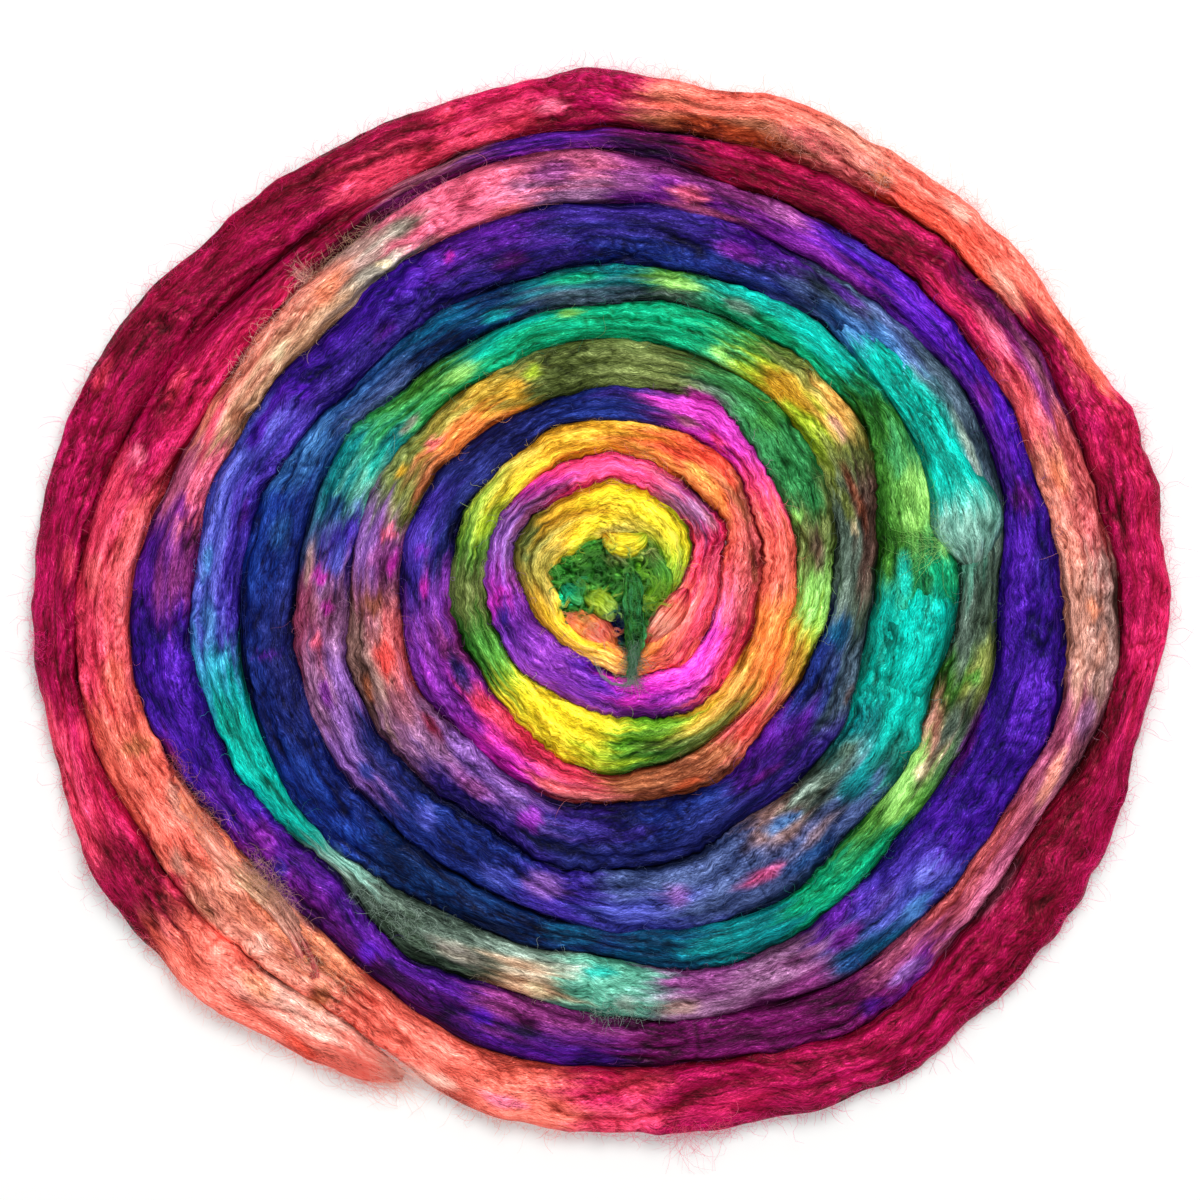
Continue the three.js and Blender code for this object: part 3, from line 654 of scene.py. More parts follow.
def silk_finish():
    """The look of combed silk: fibres that run along it in fine streaks and stray over one another,
    painted shade that makes the colour deeper and darker in the creases, and a soft gloss."""
    group = bpy.data.node_groups.new("combed silk", "ShaderNodeTree")
    face = group.interface
    face.new_socket("Dye", in_out="INPUT", socket_type="NodeSocketColor")
    for name, value in (("Run", 0), ("Across", 0), ("Crest", 1), ("Streaks", 1), ("Painted shade depth", 1)):
        socket = face.new_socket(name, in_out="INPUT", socket_type="NodeSocketFloat")
        socket.default_value = value
    face.new_socket("Colour", in_out="OUTPUT", socket_type="NodeSocketColor")
    face.new_socket("Roughness", in_out="OUTPUT", socket_type="NodeSocketFloat")
    face.new_socket("Height", in_out="OUTPUT", socket_type="NodeSocketFloat")
    nodes, links = group.nodes, group.links
    given, result = nodes.new("NodeGroupInput"), nodes.new("NodeGroupOutput")

    def math_node(operation, first, second):
        node = nodes.new("ShaderNodeMath")
        node.operation = operation
        for socket, value in zip(node.inputs, (first, second)):
            if isinstance(value, (int, float)):
                socket.default_value = value
            else:
                links.new(value, socket)
        return node.outputs[0]

    add, subtract, multiply, larger, smaller = (
        functools.partial(math_node, operation)
        for operation in ("ADD", "SUBTRACT", "MULTIPLY", "MAXIMUM", "MINIMUM"))

    def noise_along(across, run_length, thickness, detail, shift=0.0, lean=0.0):
        """Noise with features so many mm long and thick, between about -0.5 and 0.5."""
        place = nodes.new("ShaderNodeCombineXYZ")
        run = multiply(given.outputs["Run"], 1 / run_length)
        leant = add(across, multiply(given.outputs["Run"], lean))
        links.new(add(run, shift), place.inputs[0])
        links.new(multiply(leant, 1 / thickness), place.inputs[1])
        noise = nodes.new("ShaderNodeTexNoise")
        noise.noise_dimensions = "2D"
        noise.inputs["Scale"].default_value = 1
        noise.inputs["Detail"].default_value = detail
        noise.inputs["Roughness"].default_value = 0.6
        links.new(place.outputs[0], noise.inputs["Vector"])
        return subtract(noise.outputs["Fac"], 0.5)

    def lines_of(noise, level, sharpness):
        """Fine lines that wind about, where the noise passes a level: 1 on a line, 0 between."""
        away = math_node("ABSOLUTE", subtract(noise, level), 0)
        return larger(subtract(1, multiply(away, sharpness)), 0)

    across = given.outputs["Across"]
    bend = noise_along(across, 17, 10, 1, 21.7)
    wavy = add(across, multiply(bend, 3))
    fine = multiply(noise_along(wavy, 11, 0.45, 1, 5.3), 1.7)
    combed = add(noise_along(wavy, 24, 1.3, 2), fine)
    crossed = add(noise_along(wavy, 7, 0.55, 1, 33.3, 0.4), noise_along(wavy, 7, 0.55, 1, 12.9, -0.4))
    crinkled = noise_along(wavy, 5, 2.4, 2, 9.1)
    curls, strays = noise_along(wavy, 8, 3.0, 1, 2.7, 0.2), noise_along(across, 5, 3.6, 1, 14.9, -0.2)
    hairs = larger(lines_of(curls, 0.03, 20), lines_of(strays, 0.0, 18))
    hairs = larger(hairs, lines_of(curls, -0.11, 24))
    # The partings are painted shade: thin dark lines where the bundles part.
    partings = lines_of(noise_along(wavy, 50, 8, 1, 41.3), 0.0, 36)
    open_here = smaller(larger(multiply(bend, 7), 0), 1)
    partings = multiply(partings, open_here)
    swing = multiply(combed, 0.66)
    for layer, weight in ((crinkled, 0.22), (crossed, 0.55), (hairs, 0.20)):
        swing = add(swing, multiply(layer, weight))
    swing = subtract(swing, multiply(partings, 0.35))
    swing = multiply(swing, given.outputs["Streaks"])
    # Painted shade: where the painted light is low, the dye is made deeper by a higher gamma and darker by a
    # smaller multiplier.
    painted_shade = multiply(subtract(1, given.outputs["Crest"]), given.outputs["Painted shade depth"])
    deep = nodes.new("ShaderNodeGamma")
    links.new(given.outputs["Dye"], deep.inputs["Color"])
    power = add(multiply(swing, -0.35), add(1.08, multiply(painted_shade, 0.60)))
    links.new(larger(power, 0.6), deep.inputs["Gamma"])
    lit = add(1.16, multiply(swing, 1.75))
    lit = multiply(larger(lit, 0.25), subtract(1, multiply(painted_shade, 0.80)))
    shade = nodes.new("ShaderNodeMix")
    shade.data_type = "RGBA"
    shade.blend_type = "MULTIPLY"
    shade.inputs["Factor"].default_value = 1
    links.new(deep.outputs[0], shade.inputs[6])
    links.new(lit, shade.inputs[7])
    links.new(shade.outputs[2], result.inputs["Colour"])
    links.new(subtract(0.55, multiply(swing, 0.4)), result.inputs["Roughness"])
    links.new(crinkled, result.inputs["Height"])
    return group


SILK = silk_finish()


def silk_material(name, streaks, painted_shade_depth, bump, lustre):
    """Dyed silk: the finish above on a soft, slightly glossy body."""
    material = bpy.data.materials.new(name)
    material.use_nodes = True
    nodes, links = material.node_tree.nodes, material.node_tree.links
    body = nodes["Principled BSDF"]
    finish = nodes.new("ShaderNodeGroup")
    finish.node_tree = SILK
    for source, target, output in (("dye", "Dye", "Color"), ("run", "Run", "Fac"),
                                   ("across", "Across", "Fac"), ("crest", "Crest", "Fac")):
        reader = nodes.new("ShaderNodeAttribute")
        reader.attribute_name = source
        links.new(reader.outputs[output], finish.inputs[target])
    finish.inputs["Streaks"].default_value = streaks
    # How strongly the painted shade darkens and deepens the colour in the creases.
    finish.inputs["Painted shade depth"].default_value = painted_shade_depth
    ridges = nodes.new("ShaderNodeBump")
    ridges.inputs["Strength"].default_value = 1.0
    ridges.inputs["Distance"].default_value = bump
    links.new(finish.outputs["Height"], ridges.inputs["Height"])
    links.new(ridges.outputs["Normal"], body.inputs["Normal"])
    links.new(finish.outputs["Colour"], body.inputs["Base Color"])
    links.new(finish.outputs["Roughness"], body.inputs["Roughness"])
    body.inputs["Specular IOR Level"].default_value = 0.12
    body.inputs["Metallic"].default_value = lustre
    return material


strand_silk = silk_material("hand dyed silk", streaks=1.0, painted_shade_depth=1.0, bump=1.0 * MM, lustre=0.2)


def part_of_coil(piece, material):
    """The finish and the frame calls that every piece of the wound silk shares."""
    piece.data.materials.append(material)
    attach(piece, "root")
    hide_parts("wound_silk_roving")


CUTS = np.linspace(0, len(strand_points) - 1, 4).astype(int)     # three meshes, so that none grows too large
for name, first, last in zip(("outer", "middle", "inner"), CUTS[:-1], CUTS[1:]):
    rings = slice(first, last + 1)
    face = Skin(*(grid[rings] for grid in strand_skin))
    part_of_coil(strand_piece(f"silk_strand_{name}_turns", strand_points[rings], face), strand_silk)
skins = [strand_skin]


# ---- Locks that lie over the coil -----------------------------------------------------------
# Where the strand was folded back, pinched or rubbed, a lock of it lies loose over its own
# turns: a folded end and its fan, a tangle, and the curled lips and the bump round the middle.
# Each is the same silk, held only by cling.
LOCKS = {
    # mm from the middle: x, y, width, thickness, height of its underside
    "turquoise_fold": dict(rows=[
        (96, 148, 8, 6, 0), (110, 139, 13, 8, 2), (126, 125, 17, 10, 4), (141, 108, 19, 11, 5),
        (153, 90, 20, 12, 5), (163, 72, 21, 13, 5), (171, 55, 27, 15, 5), (176, 42, 35, 17, 4.5),
        (178, 31, 38, 17, 4), (180, 21, 31, 15, 4), (181, 13, 19, 10, 4), (181, 8, 8, 5, 4)],
        dyes=("denim", "sky blue", "turquoise", "turquoise", "turquoise", "turquoise", "ice", "sage"),
        relief=0.9),
    "tan_tangle": dict(rows=[
        (-223, -88, 5, 3, 6), (-212, -108, 9, 6, 8), (-199, -127, 11, 7, 9), (-183, -143, 12, 7, 9),
        (-168, -157, 11, 7, 9), (-156, -175, 10, 7, 8), (-147, -193, 8, 6, 7), (-141, -208, 5, 3, 6)],
        dyes=("coral", "apricot", "peach", "pale tan", "tan", "dusty rose", "coral"), relief=1.3),
    "turquoise_fan": dict(rows=[
        (157, 10, 12, 8, 5), (156, 4, 25, 13, 4), (155, -8, 34, 15, 4), (152, -24, 33, 15, 4),
        (147, -39, 29, 13, 4), (142, -52, 24, 11, 4), (137, -64, 15, 7, 4)],
        dyes=("emerald", "turquoise", "turquoise", "turquoise", "emerald"), relief=0.9),
    "yellow_lip": dict(rows=[
        (-4, 29, 5, 5, 12), (-1, 26, 9, 8, 12), (4, 23.5, 12, 9, 12), (9, 23.5, 12, 9, 12.5),
        (13.5, 25.5, 9, 8, 13), (17, 29, 5, 5, 13)],
        dyes=("gold", "yellow", "yellow", "chartreuse"), relief=0.9),
    "lime_curl": dict(rows=[
        (-14, 0, 6, 5, 11), (-11, -2, 9, 8, 11), (-6.5, -4.5, 12, 10, 10), (-2, -8.5, 12, 9, 9),
        (2, -13, 7, 7, 7)],
        dyes=("leaf", "chartreuse", "pale lime", "lime"), relief=0.7),
    "teal_curl": dict(rows=[
        (-25, 4, 5, 5, 10), (-21, 0, 8, 6, 10), (-17, -3, 9, 6, 10), (-11, -4.5, 6, 5, 9)],
        dyes=("bottle", "emerald", "jade", "leaf"), relief=0.7),
    "lime_mass": dict(rows=[
        (17, 22, 7, 6, 10), (20, 15, 12, 9, 9), (23, 8, 15, 10, 9), (22, 1, 14, 10, 9),
        (18, -5, 11, 9, 9), (15, -10, 6, 6, 9)],
        dyes=("olive", "leaf", "grass", "chartreuse"), relief=0.9),
    "orange_bump": dict(rows=[
        (-25, -11, 6, 6, 6), (-20, -12, 12, 12, 3), (-13.5, -15, 16, 15, 2), (-7, -19.5, 15, 13, 2),
        (-1.5, -24.5, 10, 10, 3), (2, -29, 5, 6, 4)],
        dyes=("coral", "orange", "coral", "orange"), relief=0.3),
    "coral_fold": dict(rows=[
        (38, 2, 6, 7, 10), (35, -3, 11, 10, 9), (31, -9, 14, 12, 8), (26, -15, 14, 12, 7),
        (21, -21, 11, 10, 7), (17, -27, 6, 6, 8)],
        dyes=("rose", "coral", "peach", "deep coral"), relief=0.6),
}
LOCK_STEP = 0.9                        # mm between the mesh's rings along a lock


def smooth_rows(rows, step):
    """Rows of numbers, resampled every step mm of their first two columns on a smooth curve."""
    rows = np.array(rows, float)
    padded = np.concatenate([2 * rows[:1] - rows[1:2], rows, 2 * rows[-1:] - rows[-2:-1]])
    curve = []
    for index in range(len(rows) - 1):
        share = np.linspace(0, 1, 24, endpoint=False)[:, None]
        curve.append(smooth_between(*padded[index:index + 4], share))
    curve = np.concatenate(curve + [rows[-1:]])
    run = run_along(curve[:, :2])
    even = np.linspace(0, run[-1], max(int(run[-1] / step), 8))
    return np.stack([np.interp(even, run, column) for column in curve.T], axis=1), even


def lay_lock(name, rows, dyes, relief, seed):
    """A short rounded lock along its rows, lying on whatever is under it."""
    line, run = smooth_rows(rows, LOCK_STEP)
    centre = line[:, :2] + MIDDLE
    heading = unit(np.gradient(centre, axis=0))
    left = np.stack([-heading[:, 1], heading[:, 0]], axis=1)
    share = run / run[-1]
    rounding = np.sqrt(np.clip(1 - np.abs(2 * share - 1) ** 6, 0.02, 1))
    half = line[:, 2:3] / 2 * rounding[:, None]
    colours = np.array([dye(each) for each in dyes])

    def lock_dye(run_at, side, across, points):
        place = run_at / run[-1] * (len(colours) - 1) + 0.35 * patchy(run_at, 14, across, 1.5, seed + 9)
        place = np.clip(place, 0, len(colours) - 1.001)
        first = place.astype(int)
        blend = smooth_step(0, 1, place - first)[..., None]
        return uneven(mix(colours[first], colours[first + 1], blend), run_at, across)

    points, skin = lay_strand(centre + left * half, centre - left * half, line[:, 3] * rounding,
                              line[:, 4], run, lock_dye, seed, relief)
    skins.append(skin)
    part_of_coil(strand_piece(name, points, skin), strand_silk)


for count, (name, lock) in enumerate(LOCKS.items()):
    lay_lock(name, seed=100 + 20 * count, **lock)


# ---- The tuft in the middle -----------------------------------------------------------------
# The strand's last few centimetres are teased out and pushed down into the middle: a fluffy
# green tuft of crossed, curling fibres, darker where it goes down into the hollow, in real shade and with
# painted shade.
TUFT_CENTRE = MIDDLE + np.array([0.0, 0.5])
TUFT_HALF = np.array([36.0, 30.0])     # mm, half its length and half its width
TUFT_HEIGHT = 15.5
TUFT_FLOOR = 0.3                       # mm over the table
HOLLOW = (2, -19)                      # mm from the middle, where the tuft goes down between the turns
HOLLOW_DEPTH = 8.5
HOLLOW_REACH = (3, 13)                 # mm from there at which it starts to rise, and is level again
TUFT_RINGS, TUFT_COLUMNS = 56, 132
TUFT_DABS = [                          # mm from the middle, width in mm, dye
    (-22, 9, 14, "forest"), (-12, 14, 12, "leaf"), (-16, 5, 12, "forest"), (-4, 10, 14, "forest"),
    (1, 17, 10, "olive"), (-8, 1, 10, "leaf"), (6, 9, 13, "leaf"), (9, 1, 11, "leaf"),
    (16, 12, 12, "grass"), (22, 6, 14, "leaf"), (19, -4, 10, "lime"), (-22, -3, 10, "emerald"),
    # The ink dab over the hollow and the brown dab under the yellow lip are painted shade.
    (-1, -5, 8, "leaf"), (3, -17, 13, "ink"), (15, 21, 10, "moss"), (2, 24, 8, "brown"),
]

tuft_share = np.linspace(0, 1, TUFT_RINGS)[:, None]
tuft_angle = np.linspace(0, 2 * np.pi, TUFT_COLUMNS, endpoint=False)[None, :]
tuft_reach = np.cos(tuft_share * np.pi / 2 * 0.98)
tuft_x = tuft_reach * np.cos(tuft_angle)
tuft_y = tuft_reach * np.sin(tuft_angle)
swirl_x = tuft_x * TUFT_HALF[0] + 5 * lattice_noise(tuft_x * 2.3, tuft_y * 2.0, 62)
swirl_y = tuft_y * TUFT_HALF[1] + 5 * lattice_noise(tuft_x * 2.3, tuft_y * 2.0, 63)
tuft_curls = np.abs(patchy(swirl_x, 9, swirl_y, 7, 64))
tuft_locks = np.abs(patchy(swirl_x, 4, swirl_y, 3.4, 65))
tuft_lift = (6.0 * tuft_curls + 2.6 * tuft_locks - 2.2) * smooth_step(0, 0.15, tuft_share)
tuft_points = np.empty((TUFT_RINGS, TUFT_COLUMNS, 3))
tuft_points[..., 0] = TUFT_CENTRE[0] + TUFT_HALF[0] * tuft_x
tuft_points[..., 1] = TUFT_CENTRE[1] + TUFT_HALF[1] * tuft_y
tuft_points[..., 2] = TUFT_FLOOR + TUFT_HEIGHT * np.sin(tuft_share * np.pi / 2) ** 0.6 + tuft_lift
gap = np.hypot(*(tuft_points[..., axis] - MIDDLE[axis] - HOLLOW[axis] for axis in (0, 1)))
hollow = 1 - smooth_step(*HOLLOW_REACH, gap)
tuft_points[..., 2] -= HOLLOW_DEPTH * hollow * smooth_step(0, 0.3, tuft_share)
tuft_points[..., 2] = np.maximum(tuft_points[..., 2], TUFT_FLOOR)
tuft_dye_and_shade = np.broadcast_to(dye("forest"), tuft_points.shape)
for east, north, width, name in TUFT_DABS:
    away = np.hypot(swirl_x + TUFT_CENTRE[0] - MIDDLE[0] - east, swirl_y + TUFT_CENTRE[1] - MIDDLE[1] - north)
    tuft_dye_and_shade = mix(tuft_dye_and_shade, dye(name), (1 - smooth_step(0.25, 0.75, away / width))[..., None])
tuft_dye_and_shade = 1.5 * uneven(tuft_dye_and_shade, swirl_x, swirl_y)
# Painted shade down between the tuft's curls and locks.
tuft_painted_light = smooth_step(0, 0.24, tuft_curls) * (0.25 + 0.75 * smooth_step(0, 0.22, tuft_locks))
tuft_skin = Skin(points=tuft_points, normals=upward_normals(tuft_points), run=swirl_x, across=swirl_y,
                 crest=tuft_painted_light, dye=tuft_dye_and_shade)
skins.append(tuft_skin)
tuft_ends = np.array([[*TUFT_CENTRE, TUFT_FLOOR], [*TUFT_CENTRE, tuft_points[-1, :, 2].mean()]])
tuft_values = {value: getattr(tuft_skin, value) for value in PAINTED}
part_of_coil(ringed_piece("green_tuft", tuft_points, tuft_ends, tuft_values), strand_silk)


# ---- The loose inner end --------------------------------------------------------------------
# The strand's inner end: a short green lock that falls out of the middle and lies over the
# innermost turn, thinning to a wisp. It is the same combed silk and nothing holds it down.
LOOSE_END = [                          # mm from the middle, and how high its middle lies
    (9.5, 9, 17), (10.4, 5, 19.5), (10.7, 0, 19.5), (10.5, -5, 18.5), (10.9, -9, 17.5),
    (11.5, -13.5, 17), (12, -18, 16.5), (11.8, -22, 16), (11.4, -25.5, 15.5), (11, -29, 15),
    (10.8, -33, 14.5), (10.5, -37, 13.5), (10, -40, 12.5), (9.5, -43, 12),
]
LOOSE_SIDES = 28
LOOSE_RADII = (                        # share of its length, mm from its middle line to its skin
    (0, 0.2, 0.45, 0.62, 0.8, 1),
    (3.6, 4.4, 5.4, 4.4, 2.6, 1.6),
)


def flat_tube(path, turn, radius, flatness):
    """Rings of a flattened tube round a path, in mm, with points at the given turns of each ring."""
    heading = unit(np.gradient(path, axis=0))
    level = unit(np.cross(heading, (0, 0, 1.0)))
    up = np.cross(level, heading)
    ring = np.cos(turn)[None, :, None] * level[:, None, :]
    ring = ring + flatness * np.sin(turn)[None, :, None] * up[:, None, :]
    return path[:, None, :] + ring * radius[..., None]


end_line, _ = smooth_rows(LOOSE_END, 0.8)
end_line[:, :2] += MIDDLE
end_run = run_along(end_line)
end_share = end_run / end_run[-1]
end_turn = np.linspace(0, 2 * np.pi, LOOSE_SIDES, endpoint=False)
end_across = 12 * np.cos(end_turn)[None, :] + 0 * end_share[:, None]
end_fibres = end_across + 2 * patchy(end_run[:, None], 16, end_across, 9, 71)
end_bundles = np.abs(patchy(end_run[:, None], 22, end_fibres, 4, 72))
end_radius = np.interp(end_share, *LOOSE_RADII)
end_lumps = np.abs(patchy(end_run[:, None], 8, end_fibres, 6, 74))
end_swell = 0.80 + 0.6 * end_bundles + 0.7 * end_lumps
end_rings = flat_tube(end_line, end_turn, end_radius[:, None] * end_swell, flatness=0.62)
end_blend = smooth_step(-0.2, 0.4, patchy(end_run[:, None], 12, end_fibres, 5, 73))[..., None]
end_dye = uneven(mix(dye("forest"), dye("green"), end_blend), end_run[:, None], end_fibres)
# Painted shade in the loose end's creases between bundles and lumps.
end_painted_light = smooth_step(0, 0.2, end_bundles) * smooth_step(-0.1, 0.15, end_lumps)
loose_end = ringed_piece("loose_silk_end", end_rings, end_line[[0, -1]],
                         dict(run=end_run[:, None], across=end_fibres, crest=end_painted_light, dye=end_dye))
loose_end.data.materials.append(strand_silk)
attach(loose_end, "root")
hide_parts("loose_inner_end")


# ---- Loose fibres ---------------------------------------------------------------------------
# Silk top is never tidy: single fibres stand off the combed face, curl across the grooves, and
# make a soft halo round the rim. Each is a fine closed thread of its own, in a paler tint.
FIBRE_RADIUS = 0.06                    # mm
FIBRE_SIDES = 3


def threads(name, paths, radius, colour):
    """Many fine fibres in one piece, each a closed three-sided thread along its own path."""
    count, knots = paths.shape[:2]
    heading = unit(np.gradient(paths, axis=1))
    level = unit(np.cross(heading, (0.02, 0.01, 1.0)))     # never quite upright, so never along a fibre
    up = np.cross(level, heading)
    thickness = radius[:, None] * (1 - 0.7 * np.abs(np.linspace(-1, 1, knots)) ** 3)
    rings = []
    for angle in np.radians((90, 210, 330)):
        rings.append(paths + thickness[..., None] * (math.cos(angle) * level + math.sin(angle) * up))
    points = np.stack(rings, axis=2)
    points[..., 2] = np.maximum(points[..., 2], 0.05)
    first = (np.arange(count) * knots * FIBRE_SIDES)[:, None, None]
    here = first + (np.arange(knots - 1) * FIBRE_SIDES)[None, :, None]
    ahead = here + FIBRE_SIDES
    side = np.arange(FIBRE_SIDES)[None, None, :]
    following = (side + 1) % FIBRE_SIDES
    quads = np.stack([here + side, ahead + side, ahead + following, here + following], axis=-1)
    start = first[:, 0]
    caps = np.concatenate([start + [0, 1, 2], start + (knots - 1) * FIBRE_SIDES + [2, 1, 0]])
    piece = closed_mesh(name, points.reshape(-1, 3), quads.reshape(-1, 4).tolist() + caps.tolist())
    corners = knots * FIBRE_SIDES
    each = np.repeat(np.random.default_rng(count).uniform(0, 500, count), corners)
    colours = np.repeat(colour, corners, axis=0)
    paint(piece, run=each, across=each * 3.7, crest=np.ones(len(each)), dye=colours)
    return piece


def at_grid(grid, ring, column):
    """Values of a skin's grid between its points."""
    ring = np.clip(ring, 0, grid.shape[0] - 1.001)
    column = np.clip(column, 0, grid.shape[1] - 1.001)
    row, place = ring.astype(int), column.astype(int)
    over, beside = (ring - row)[..., None], (column - place)[..., None]
    low = mix(grid[row, place], grid[row, place + 1], beside)
    high = mix(grid[row + 1, place], grid[row + 1, place + 1], beside)
    return mix(low, high, over)


def tint(colour, rng, pale=0.02):
    """A fibre's own shade of the dye under it: often brighter, as a thin fibre lets light through."""
    each = (len(colour), 1)
    power = rng.uniform(0.75, 1.0, each)
    return np.clip(colour, 0.003, 1) ** power * rng.uniform(0.6, 1.2, each) * (1 - pale) + pale * 0.8


def surface_fibres(skin, count, seed):
    """Fibres that lie along a strand's upper face and lift a little at their ends."""
    rng = np.random.default_rng(seed)
    rings, columns = skin.points.shape[:2]
    length = rng.uniform(12, 40, count) / RING_STEP
    share = np.linspace(-0.5, 0.5, 5)[None, :]
    ring = rng.uniform(0, rings - 1, count)[:, None] + length[:, None] * share
    column = rng.uniform(1.5, columns - 2.5, count)[:, None] + rng.normal(0, 1.9, count)[:, None] * share
    column = column + rng.normal(0, 0.5, (count, 1)) * np.sin(share * 9 + rng.uniform(0, 6, (count, 1)))
    place = at_grid(skin.points, ring, column)
    normal = at_grid(skin.normals, ring, column)
    lift = rng.uniform(0.05, 0.35, (count, 1)) + rng.gamma(1.2, 0.5, (count, 1)) * np.abs(2 * share) ** 3
    colour = tint(at_grid(skin.dye, ring[:, 2], column[:, 2]), rng)
    return place + normal * lift[..., None], colour


MAP_STEP = 1.0                         # mm, one cell of the map
MAP_REACH = 330                        # mm from the frame's origin to the map's edges


def height_and_dye_map():
    """How high the silk lies over each mm of the table, and the dye that shows there."""
    size = int(2 * MAP_REACH / MAP_STEP)
    height, colour = np.zeros((size, size)), np.ones((size, size, 3))
    points = np.concatenate([skin.points.reshape(-1, 3) for skin in skins])
    colours = np.concatenate([np.broadcast_to(skin.dye, skin.points.shape).reshape(-1, 3) for skin in skins])
    order = np.argsort(points[:, 2])
    points, colours = points[order], colours[order]
    cell = ((points[:, :2] + MAP_REACH) / MAP_STEP).astype(int)
    for dx in (-1, 0, 1):
        for dy in (-1, 0, 1):
            np.maximum.at(height, (cell[:, 0] + dx, cell[:, 1] + dy), points[:, 2])
            colour[cell[:, 0] + dx, cell[:, 1] + dy] = colours
    return height, colour


HEIGHT, SHOWN_DYE = height_and_dye_map()


def highest_near(grid, cells):
    """Each cell takes the highest value within so many cells of it."""
    for axis in (0, 1):
        shifted = [np.roll(grid, step, axis) for step in range(-cells, cells + 1)]
        grid = np.maximum.reduce(shifted)
    return grid


BRIDGED = highest_near(HEIGHT, 2)


def on_map(grid, place):
    cell = np.clip(((place + MAP_REACH) / MAP_STEP).astype(int), 0, len(grid) - 1)
    return grid[cell[..., 0], cell[..., 1]]


def wandering(start, heading, length, bend, rng, knots=7):
    """Level paths that set off from their starts, and bend and waver as they go."""
    count = len(start)
    share = np.linspace(0, 1, knots)[None, :]
    angle = heading[:, None] + bend[:, None] * share
    angle = angle + 0.5 * rng.normal(0, 1, (count, 1)) * np.sin(share * 7 + rng.uniform(0, 6, (count, 1)))
    step = (length / (knots - 1))[:, None]
    x = np.cumsum(np.cos(angle) * step, axis=1) - np.cos(angle[:, :1]) * step
    y = np.cumsum(np.sin(angle) * step, axis=1) - np.sin(angle[:, :1]) * step
    return start[:, None, :] + np.stack([x, y], axis=-1)


def lying(level, rng, lift=(0.1, 0.6), arch=1.0):
    """Level paths laid on the silk: they bridge the grooves and rise a little in the middle."""
    knots = level.shape[1]
    rest = on_map(BRIDGED, level)
    smooth = (np.roll(rest, 1, 1) + rest + np.roll(rest, -1, 1)) / 3
    smooth[:, 0], smooth[:, -1] = rest[:, 0], rest[:, -1]
    rise = rng.uniform(*lift, (len(level), 1))
    rise = rise + arch * rng.gamma(1.5, 0.4, (len(level), 1)) * np.sin(np.linspace(0, np.pi, knots))[None, :]
    return np.concatenate([level, (np.maximum(rest, smooth) + rise)[..., None]], axis=-1)


def groove_fuzz(first, last, count, seed):
    """Short curly fibres that stray over the grooves, most of them where the dye is pale."""
    rng = np.random.default_rng(seed)
    ring = rng.uniform(first, last, 3 * count)
    column = rng.uniform(1, 10, 3 * count)
    column = np.where(rng.random(3 * count) < 0.5, column, TOP_COLUMNS - 1 - column)
    colour = at_grid(strand_skin.dye, ring, column)
    kept = np.argsort(rng.random(3 * count) / (0.12 + colour.mean(axis=1)))[:count]
    ring, column, colour = ring[kept], column[kept], colour[kept]
    start = at_grid(strand_skin.points, ring, column)
    ahead = at_grid(strand_skin.points, ring + 1, column) - start
    heading = np.arctan2(ahead[:, 1], ahead[:, 0]) + rng.normal(0, 0.9, count)
    heading = heading + np.pi * rng.integers(0, 2, count)
    length = np.minimum(2 + rng.gamma(2.0, 1.9, count), 16)
    level = wandering(start[:, :2], heading, length, rng.normal(0, 3.0, count), rng)
    return lying(level, rng), tint(colour, rng, 0.04)


RIM_REACH = np.array([306.0, 287.0])     # mm from the frame's origin that the longest rim hairs keep within


def glowing(colour, rng, strength):
    """The shade of a fibre that stands alone over the table, with the light coming through it."""
    power = rng.uniform(0.6, 1.0, (len(colour), 1))
    return np.clip(colour / colour.max(axis=-1, keepdims=True), 0, 1) ** power * strength


def rim_halo(count, seed):
    """Fibres that stand out from the rim over the table, curled back on themselves."""
    rng = np.random.default_rng(seed)
    first_turn = np.searchsorted(STRAND_PLACES, PLACES_PER_TURN)
    ring = rng.uniform(0, first_turn, count)
    column = rng.uniform(0, 6, count)
    start = at_grid(strand_skin.points, ring, column)
    away = np.arctan2(start[:, 1] - MIDDLE[1], start[:, 0] - MIDDLE[0])
    turned = rng.choice((-1, 1), count) * rng.uniform(0.1, 1.45, count)
    length = np.minimum(2.5 + rng.gamma(1.4, 3.2, count), 26)
    level = wandering(start[:, :2], away + turned, length, rng.normal(0, 1.9, count), rng, knots=6)
    level = np.clip(level, -RIM_REACH, RIM_REACH)
    share = np.linspace(0, 1, level.shape[1])[None, :]
    droop = start[:, 2:] * (1 - share * rng.uniform(0.2, 0.9, (count, 1)))
    height = np.maximum(droop + rng.uniform(0, 1.5, (count, 1)), on_map(HEIGHT, level) + 0.15)
    return (np.concatenate([level, height[..., None]], axis=-1),
            glowing(at_grid(strand_skin.dye, ring, column), rng, 0.95))


